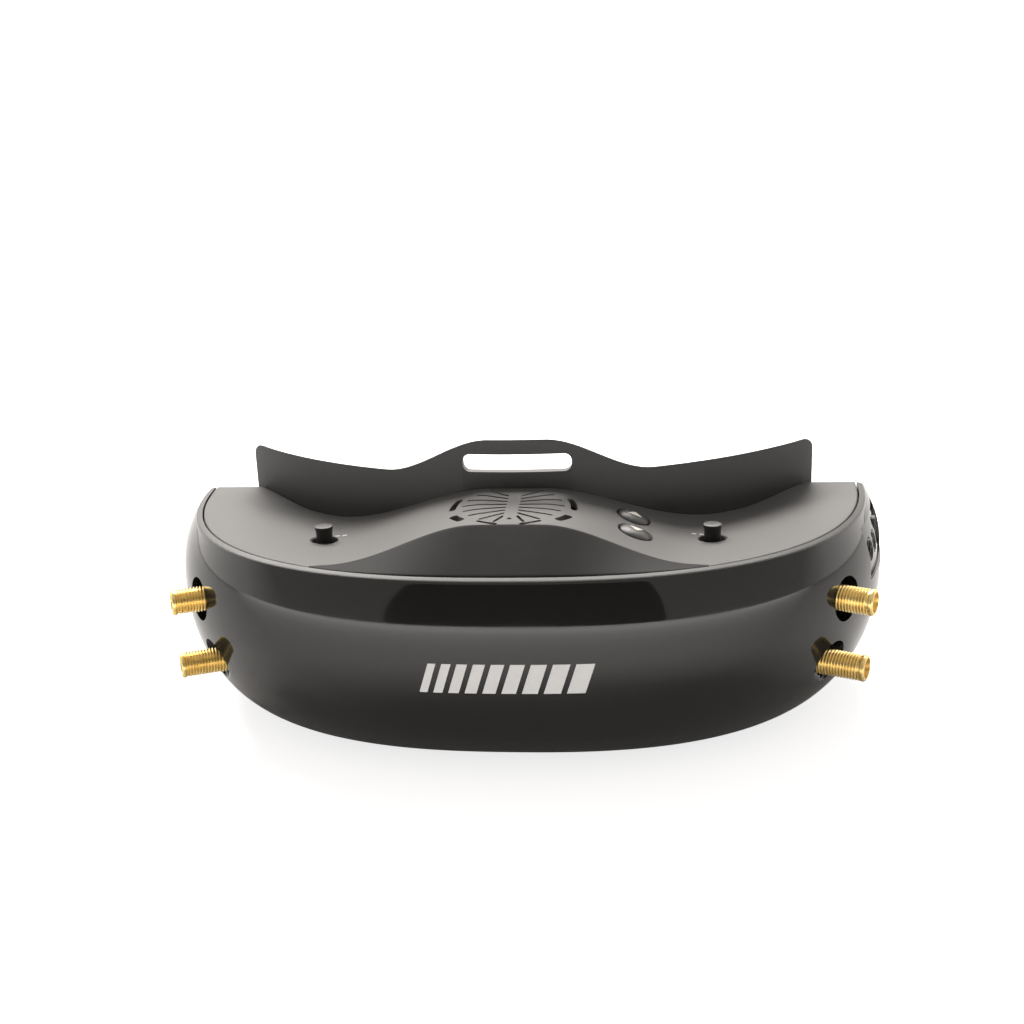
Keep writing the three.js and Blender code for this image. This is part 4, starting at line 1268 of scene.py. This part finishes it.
def build_antenna_connectors():
    tree = thread_tree()
    start, turns = 1.35, 16.3
    for name, tip, out in connectors():
        profile = softened([
            (2.35, -POCKET_FLOOR - 4.4), (2.35, 0), (2.78, 0), (SMA_R - 0.04, -0.42), (SMA_R - 0.04, -1.0),
            (THREAD_CORE, -1.2), (THREAD_CORE, -POCKET_FLOOR - 2.1), (3.4, -POCKET_FLOOR - 2.1),
            (3.4, -POCKET_FLOOR - 4.4)], 0.07, 2)
        barrel = to_object(f"sma_thread_{name}", turned(profile + profile[:1], tip, out, 64))
        grow(barrel, tree, {
            "Tip": place(tip), "Out": Vector(out), "Start": start * MM,
            "Pitch": THREAD_PITCH * MM, "Turns": turns,
            "Radius": (THREAD_CORE + 0.04) * MM, "Ridge": 0.3 * MM})
        hand_over(barrel, "housing", "gold", nodes=[f"sma_barrel_{name}"], crease=50)
        sleeve = [
            (0.95, -14.6), (2.05, -14.6), (2.05, -2.0), (1.95, -1.9),
            (1.02, -1.9), (0.95, -2.0), (0.95, -14.6)]
        hand_over(
            to_object(f"sma_sleeve_{name}", turned(sleeve, tip, out, 40)), "housing", "ptfe",
            nodes=[f"sma_insulator_{name}"])
        pin = [(0, -17.2), (0.64, -17.2), (0.64, -1.8), (0.56, -1.7), (0.34, -1.7), (0.3, -4.5), (0, -4.5)]
        hand_over(
            to_object(f"sma_pin_{name}", turned(pin, tip, out, 28)), "housing", "gold",
            nodes=[f"sma_contact_{name}"])


# =========================================================================================
# Screws
# =========================================================================================

def screw_tree():
    """Sets a cross-recess screw at each point, with its head at the point and its axis along 'axis'."""
    nodes, inputs, finish = shape_tree("screws", {
        "Head Radius": 0.0024, "Head Height": 0.0009, "Shank Radius": 0.00115, "Length": 0.0095,
        "Recess": 0.0005}, LOOKS["steel"])

    def barrel(radius, depth, low, sides=40):
        shape = nodes.add("GeometryNodeMeshCylinder", None, {
            "Vertices": sides, "Radius": radius, "Depth": depth})
        rise = nodes.add("ShaderNodeCombineXYZ", None, {"Z": low + depth * 0.5})
        return moved(nodes, shape, Translation=rise)

    dome_r = inputs["Head Radius"] * 2.4
    dome = nodes.add("GeometryNodeMeshUVSphere", None, {"Segments": 64, "Rings": 48, "Radius": dome_r})
    dome = moved(nodes, dome, Translation=nodes.add("ShaderNodeCombineXYZ", None, {"Z": dome_r}))
    head = nodes.add("GeometryNodeMeshBoolean", {"operation": "INTERSECT"})
    for shape in (barrel(inputs["Head Radius"], inputs["Head Height"], inputs["Head Radius"] * 0), dome):
        nodes.tree.links.new(shape.socket, head.socket.node.inputs["Mesh 2"])
    arm = inputs["Head Radius"] * 1.25
    width = inputs["Head Radius"] * 0.28
    depth = inputs["Recess"] * 2
    recess = nodes.add("GeometryNodeMeshBoolean", {"operation": "DIFFERENCE"}, {"Mesh 1": head})
    for size in ((arm, width, depth), (width, arm, depth)):
        span = nodes.add("ShaderNodeCombineXYZ", None, dict(zip("XYZ", size)))
        cross = nodes.add("GeometryNodeMeshCube", None, {"Size": span})
        nodes.tree.links.new(cross.socket, recess.socket.node.inputs["Mesh 2"])
    head_height = inputs["Head Height"]
    shank = barrel(inputs["Shank Radius"], inputs["Length"] - head_height, head_height, 20)
    axis = nodes.add("GeometryNodeInputNamedAttribute", {"data_type": "FLOAT_VECTOR"}, {"Name": "axis"})
    facing = nodes.add("FunctionNodeAlignRotationToVector", {"axis": "Z"}, {"Vector": axis})
    copies = nodes.add("GeometryNodeInstanceOnPoints", None, {
        "Points": inputs["Geometry"], "Instance": joined(nodes, recess, shank), "Rotation": facing})
    return finish(copies)


def scattered(name, points, axis):
    """Loose points that carry the direction of what will stand on them."""
    piece = to_object(name, (points, []))
    attribute = piece.data.attributes.new("axis", "FLOAT_VECTOR", "POINT")
    for item in attribute.data:
        item.vector = axis
    return piece


def build_screws():
    tree = screw_tree()
    below = [(sign * x, y, 0.25) for _, sign in HANDS for x, y in BOTTOM_SCREWS]
    screws = grow(scattered("bottom_screw_set", below, (0, 0, 1)), tree, {
        "Head Radius": 2.4 * MM, "Head Height": 0.85 * MM, "Recess": 0.45 * MM})
    hand_over(screws, "housing", "steel", nodes=[
        f"bottom_screw_{where}_{hand}" for where in ("front", "rear") for hand, _ in HANDS])
    face = BODY_REAR_Y + GAP + PLATE_T + GAP + 1.4
    behind = [(sign * x, face, z) for _, sign in HANDS for x, z in EAR_SCREWS]
    screws = grow(scattered("plate_screw_set", behind, (0, -1, 0)), tree, {
        "Head Radius": 2.3 * MM, "Head Height": 1.4 * MM, "Recess": 0.8 * MM})
    hand_over(screws, "housing", "steel", nodes=[
        f"plate_screw_{where}_{hand}" for where in ("lower", "upper") for hand, _ in HANDS])


# =========================================================================================
# Fan
# =========================================================================================

def rotor_tree():
    """Sets curved blades round a hub."""
    nodes, inputs, finish = shape_tree("rotor_blades", {
        "Centre": (0.0, 0.0, 0.0), "Blades": 7, "Radius": 0.0078, "Span": 0.0066, "Height": 0.0038,
        "Lean": 0.9, "Thickness": 0.0007}, LOOKS["black_plastic"])
    size = nodes.add("ShaderNodeCombineXYZ", None, {
        "X": inputs["Span"], "Y": inputs["Thickness"], "Z": inputs["Height"]})
    blade = nodes.add("GeometryNodeMeshCube", None, {
        "Size": size, "Vertices X": 9, "Vertices Y": 2, "Vertices Z": 9})
    here = nodes.add("GeometryNodeInputPosition")
    height = nodes.add("ShaderNodeSeparateXYZ", None, {"Vector": here}, output="Z")
    reach = nodes.add("ShaderNodeSeparateXYZ", None, {"Vector": here}, output="X")
    sweep = height * inputs["Lean"] + reach * reach * 40 + height * height * 70
    bent = nodes.add("GeometryNodeSetPosition", None, {
        "Geometry": blade, "Offset": nodes.add("ShaderNodeCombineXYZ", None, {"Y": sweep})})
    ring = nodes.add("GeometryNodeMeshCircle", None, {
        "Vertices": inputs["Blades"], "Radius": inputs["Radius"]})
    facing = nodes.add("FunctionNodeAlignRotationToVector", {"axis": "X"}, {
        "Vector": nodes.add("GeometryNodeInputPosition")})
    copies = nodes.add("GeometryNodeInstanceOnPoints", None, {
        "Points": ring, "Instance": bent, "Rotation": facing})
    return finish(joined(nodes, inputs["Geometry"], moved(nodes, copies, Translation=inputs["Centre"])))


def build_fan():
    hub = softened([(0, 45.8), (5.2, 45.8), (5.2, 51.4), (0, 51.4)], 0.8, 4)
    rotor = to_object("fan_rotor_moulding", turned(hub, (0, FAN_Y, 0), (0, 0, 1), 56))
    grow(rotor, rotor_tree(), {"Centre": place((0, FAN_Y, 48.8))})
    hand_over(rotor, "fan", "black_plastic", nodes=["fan_rotor"])


# =========================================================================================
# Joysticks and channel buttons
# =========================================================================================

def build_joysticks():
    for hand, sign in HANDS:
        profile = softened([
            (0, 42.0), (0.95, 42.0), (0.95, 44.5), (1.95, 44.5),
            (1.98, 48.6), (2.2, 49.9), (2.2, 50.3), (1.6, 50.35)],
            0.25, 4) + [(0, 50.35)]
        knob = turned(profile, (sign * STICK_X, STICK_Y, 0), (0, 0, 1), 56)
        cap = to_object(f"joystick_knob_{hand}", knob)
        hand_over(cap, f"joystick_{hand}_stick", "black_plastic", nodes=[f"joystick_cap_{hand}"])


def dome(radius):
    """Height of a channel button's face at a distance from its axis."""
    return 0.97 - 0.01081 * radius ** 3.287


def button_frame(out):
    """Directions across a button and towards its back, in its own plane."""
    back = Vector((0, 1, 0))
    back = (back - out * back.dot(out)).normalized()
    return back.cross(out), back


def build_channel_buttons():
    for (name, origin, out), aim in zip(buttons(), (1, -1)):
        face = [(radius, dome(radius)) for radius in (3.7, 3.4, 3.0, 2.5, 2.0, 1.4, 0.8)]
        profile = [
            (0, -4.9), (1.2, -4.9), (1.2, -3.6), (4.1, -3.6),
            (4.1, -2.7), (BUTTON_R, -2.7), (BUTTON_R, 0.0)]
        cap = to_object(f"{name}_cap", turned(profile + face + [(0, 0.97)], origin, out, 72))
        hand_over(cap, name, "button_plastic", nodes=[f"{name}_button"], crease=50)

        across, back = button_frame(out)
        rows = 8

        def printed(lift):
            def point(i, j):
                v = j / rows
                half = 1.75 * (1 - v)
                u = half * (-1 + 2 * i / 8)
                w = aim * (-1.0 + 2.2 * v)
                return tuple(origin + across * u + back * w + out * (dome(math.hypot(u, w)) + lift))
            return point

        arrow = to_object(f"{name}_arrow", slab(8, rows - 1, printed(0.03), printed(-0.06)))
        hand_over(arrow, name, "button_plastic", look=CREAM_INK)


# =========================================================================================
# Optics
# =========================================================================================

def build_optics():
    for hand, sign in HANDS:
        x = sign * EYE_X
        centre = (x, 0, EYE_Z)
        barrel = to_object(f"lens_barrel_moulding_{hand}", eased_along_y(
            rounded_box(x, 24.45, 28, 27.7, 2.0), -14, -8, 0.4))
        tube = softened([(BARREL_R, -8.2), (BARREL_R, 11), (11.6, 11)], 0.35, 3)
        carve(barrel, turned([(0, -8.2)] + tube + [(0, 11)], centre, (0, 1, 0), 96), "UNION")
        carve(barrel, turned([
            (0, -15), (9.6, -15), (9.6, -0.9), (11.6, -0.9), (11.6, 12), (0, 12)], centre, (0, 1, 0), 96))
        carve(barrel, together(*[rod(1.5, -20, 20, (x, RAIL_Y, z), (1, 0, 0)) for z in RAIL_Z]))
        hand_over(barrel, f"lens_{hand}", "black_plastic", nodes=[f"lens_barrel_{hand}"])

        steps = 14
        rear = [(11.2 * k / steps, 4 + 1.6 * (k / steps) ** 2) for k in range(steps + 1)]
        front = [(11.2 * k / steps, 10.6 - 2.4 * (k / steps) ** 2) for k in range(steps, -1, -1)]
        lens = to_object(f"eyepiece_glass_{hand}", turned(rear + front, centre, (0, 1, 0), 96))
        hand_over(lens, f"lens_{hand}", "lens_glass", nodes=[f"eyepiece_{hand}"])

        grip = to_object(f"eye_slider_{hand}", ribbed_tab(x))
        hand_over(grip, f"lens_{hand}", "black_plastic", nodes=[f"ipd_tab_{hand}"])


def ribbed_tab(x, ribs=5):
    """A sliding tab with thumb ribs across its lower end."""
    outline = []
    for k in range(ribs):
        left = -2.5 + k
        outline += [(left + 0.12, 0.6), (left + 0.88, 0.6), (left + 1.0, 1.0)]
    outline = [(x + u, z) for u, z in outline[:-1]]
    outline += [(x + 2.5, 1.0), (x + 2.5, 12.3), (x - 2.5, 12.3), (x - 2.5, 1.0)]
    return eased_along_y(outline, -1.9, 1.9, 0.1)


# =========================================================================================
# Printed marks
# =========================================================================================

MARK_X = (-19.0, 20.0)
MARK_Z = (23.4, 30.6)
MARK_SLANT = 0.32
MARK_BARS = 9
MARK_GAP = 1.3
INK = 0.035


def build_shell_mark():
    """A row of slanted bars, each wider than the last, printed low on the front."""
    shares = [1.0 + 0.16 * k for k in range(MARK_BARS)]
    height = MARK_Z[1] - MARK_Z[0]
    room = MARK_X[1] - MARK_X[0] - MARK_GAP * (MARK_BARS - 1) - MARK_SLANT * height
    unit = room / sum(shares)
    bars = []
    left = MARK_X[0]
    for share in shares:
        width = unit * share

        def printed(lift):
            def point(i, j):
                z = MARK_Z[0] + height * j / 8
                return shell_point(left + width * i / 6 + MARK_SLANT * (z - MARK_Z[0]), z, lift)
            return point

        bars.append(slab(6, 8, printed(INK), printed(-INK)))
        left += width + MARK_GAP
    mark = to_object("front_mark", together(*bars))
    hand_over(mark, "housing", "gloss_shell", look=PALE_INK)


def build_joystick_marks():
    """Two short printed dashes beside each joystick."""
    dashes = []
    for _, sign in HANDS:
        for centre in (42.3, 44.1):

            def printed(lift):
                def point(i, j):
                    x = centre - 0.55 + 1.1 * i / 4
                    y = 5.3 + 0.75 * j / 2
                    return (sign * x, y, cover_z(x, y) + lift)
                return point

            dashes.append(slab(4, 2, printed(INK), printed(-INK)))
    hand_over(to_object("joystick_marks", together(*dashes)), "housing", "matte_cover", look=PALE_INK)


# =========================================================================================
# Frame pieces that keep their shape and only get their finish
# =========================================================================================

PLAIN_NODES = {
    "main_board": "circuit_board",
    "channel_board": "circuit_board",
    "fan_frame": "black_plastic",
    "lens_rail_lower": "steel",
    "lens_rail_upper": "steel",
}
for hand, _ in HANDS:
    PLAIN_NODES[f"receiver_board_{hand}"] = "circuit_board"
    PLAIN_NODES[f"receiver_can_{hand}"] = "steel"
    PLAIN_NODES[f"display_{hand}"] = "black_plastic"
    PLAIN_NODES[f"joystick_base_{hand}"] = "steel"
    PLAIN_NODES[f"joystick_ring_{hand}"] = "steel"
    PLAIN_NODES[f"joystick_rocker_{hand}"] = "black_plastic"


def dress_plain_nodes():
    for name, slot in PLAIN_NODES.items():
        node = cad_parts[name]
        for holder in node.material_slots:
            holder.material = LOOKS[slot]


# =========================================================================================
# Studio: floor, backdrop, lights, camera
# =========================================================================================

WARM = (1.0, 0.965, 0.925, 1.0)
ROOM = 0.42
KEY_AT = (-0.35, 1.2, 1.35)
KEY_SIZE = (1.8, 0.8)
KEY_LIGHT = 11.5
TENT_LIGHT = 2.6
TENT_SHADES = [(0.0, 0.22), (0.35, 0.24), (0.5, 0.55), (0.75, 0.75), (1.0, 1.0)]
TENT_R = 3.0
PAPER_R = 5.0
CARD_HALF = 0.52
CARD_Y = -0.95
CARD_Z = (0.03, 1.1)
CARD_CORNER = 0.05
FLOOR_GLOW = 2.8
TENT_TOP = 0.6


def stage_look(name, shade, glow=0.0):
    look = Look(name)
    return look.surface(
        Base_Color=colour(shade, shade, shade),
        Roughness=0.9,
        Emission_Color=colour(1, 1, 1),
        Emission_Strength=glow)


def floor_tone_look():
    """The floor as the glossy shell shows it: brighter away from the object, where a painted glow is
    added.
    """
    look = Look("floor_tone")
    away = look.steps(look.part_of("Y") * -1.0, [(0.05, 0.0), (0.1, 0.18), (0.2, 0.45), (0.5, 1.0)])
    return look.surface(
        Base_Color=colour(0.8, 0.8, 0.8),
        Roughness=0.9,
        Emission_Color=look.blend(away, colour(0, 0, 0), WARM),
        Emission_Strength=FLOOR_GLOW)


def tent_look():
    """Cloth that glows softly: dim in front of the object and bright behind it."""
    look = Look("tent_cloth")
    along = look.part_of("Y") * (0.5 / TENT_R) + 0.5
    left = look.part_of("X") * (-0.08 / TENT_R)
    height = look.part_of("Z") * (1 / TENT_R)
    overhead = height * height * TENT_TOP
    return look.surface(
        Base_Color=colour(0, 0, 0),
        Roughness=1.0,
        Emission_Color=look.blend(
            look.steps(along + left - overhead, TENT_SHADES), colour(0, 0, 0), WARM),
        Emission_Strength=TENT_LIGHT)


def stage_object(name, points, faces, look):
    mesh = bpy.data.meshes.new(name)
    mesh.from_pydata(points, [], faces)
    mesh.materials.append(look)
    piece = bpy.data.objects.new(name, mesh)
    bpy.context.scene.collection.objects.link(piece)
    return piece


def dome_object(name, radius, look):
    """A half sphere standing on the floor, closed over the top."""
    rings = 12
    section = [(0.0, radius)] + [
        (radius * math.cos(math.pi / 2 * k / rings), radius * math.sin(math.pi / 2 * k / rings))
        for k in range(rings - 1, -1, -1)]
    sides = 48
    points = [(r * math.cos(2 * math.pi * i / sides), r * math.sin(2 * math.pi * i / sides), z)
              for r, z in section[1:] for i in range(sides)]
    faces = [(i, (i + 1) % sides, len(points)) for i in range(sides)]
    points.append((0, 0, radius))
    for ring in range(len(section) - 2):
        for i in range(sides):
            near, far = ring * sides, (ring + 1) * sides
            faces.append((near + i, near + (i + 1) % sides, far + (i + 1) % sides, far + i))
    dome = stage_object(name, points, faces, look)
    dome.data.shade_smooth()
    return dome


def sheet_object(name, corners, look):
    return stage_object(name, corners, [tuple(range(len(corners)))], look)


def softbox(name, at, towards, width, height, brightness):
    """A rectangular light with an even brightness, which the camera itself doesn't see."""
    light = bpy.data.lights.new(name, "AREA")
    light.shape = "RECTANGLE"
    light.size = width
    light.size_y = height
    light.color = WARM[:3]
    light.energy = brightness * math.pi * width * height
    lamp = bpy.data.objects.new(name, light)
    lamp.location = at
    lamp.rotation_euler = (Vector(towards) - Vector(at)).to_track_quat("-Z", "Y").to_euler()
    lamp.visible_camera = False
    bpy.context.scene.collection.objects.link(lamp)
    return lamp


def seen_only_in_gloss(piece):
    piece.visible_camera = False
    piece.visible_diffuse = False
    piece.visible_shadow = False
    piece.visible_transmission = False


def build_studio():
    world = bpy.data.worlds.new("studio")
    world.use_nodes = True
    background = world.node_tree.nodes["Background"]
    background.inputs["Color"].default_value = WARM
    background.inputs["Strength"].default_value = ROOM
    bpy.context.scene.world = world
    bpy.context.scene.view_settings.view_transform = "Standard"

    reach = 6.0
    corners = [(-reach, -reach), (reach, -reach), (reach, reach), (-reach, reach)]
    floor = sheet_object("floor", [(x, y, 0) for x, y in corners], stage_look("floor_paper", 0.8, 0.75))
    floor.visible_glossy = False
    seen_only_in_gloss(sheet_object(
        "floor_tone", [(x, y, 0.00005) for x, y in corners], floor_tone_look()))
    low, high = CARD_Z
    card = [(-CARD_HALF, low), (CARD_HALF, low), (CARD_HALF, high), (-CARD_HALF, high)]
    card_face = [(x, CARD_Y, z) for x, z in softened(card, CARD_CORNER, 6, closed=True)]
    seen_only_in_gloss(sheet_object("dark_card", card_face, stage_look("dark_card", 0.01)))

    tent = dome_object("light_tent", TENT_R, tent_look())
    tent.visible_camera = False
    tent.visible_shadow = False
    tent.visible_diffuse = False
    paper = dome_object("pale_surround", PAPER_R, stage_look("surround_paper", 0.8, 1.0))
    paper.visible_diffuse = False
    paper.visible_glossy = False
    paper.visible_transmission = False
    paper.visible_shadow = False
    softbox("key_softbox", KEY_AT, (0, 0, 0.04), *KEY_SIZE, KEY_LIGHT)


# Where the camera stands, in the same millimetres as the sizes above, and how it is turned.
CAMERA_AT = (32.6, -312.3, 155.4)
CAMERA_YAW = -6.04
CAMERA_PITCH = 17.86
CAMERA_ROLL = -2.23
CAMERA_LENS = 49.22


def build_camera():
    yaw, pitch, roll = (math.radians(a) for a in (CAMERA_YAW, CAMERA_PITCH, CAMERA_ROLL))
    ahead = Vector((math.sin(yaw) * math.cos(pitch), math.cos(yaw) * math.cos(pitch), -math.sin(pitch)))
    level = Vector((math.cos(yaw), -math.sin(yaw), 0))
    above = level.cross(ahead)
    right = math.cos(roll) * level + math.sin(roll) * above
    up = math.cos(roll) * above - math.sin(roll) * level
    turn = Matrix((right, up, -ahead)).transposed()
    data = bpy.data.cameras.new("camera")
    data.lens = CAMERA_LENS
    data.clip_start = 0.01
    camera = bpy.data.objects.new("camera", data)
    camera.matrix_world = Matrix.Translation(place(CAMERA_AT)) @ turn.to_4x4()
    bpy.context.scene.collection.objects.link(camera)
    bpy.context.scene.camera = camera


build_camera()
build_studio()
build_front_shell()
build_sockets()
build_ports()
build_top_cover()
build_bottom_cover()
build_face_plate()
build_foam()
build_antenna_connectors()
build_screws()
build_fan()
build_joysticks()
build_channel_buttons()
build_optics()
build_shell_mark()
build_joystick_marks()
dress_plain_nodes()
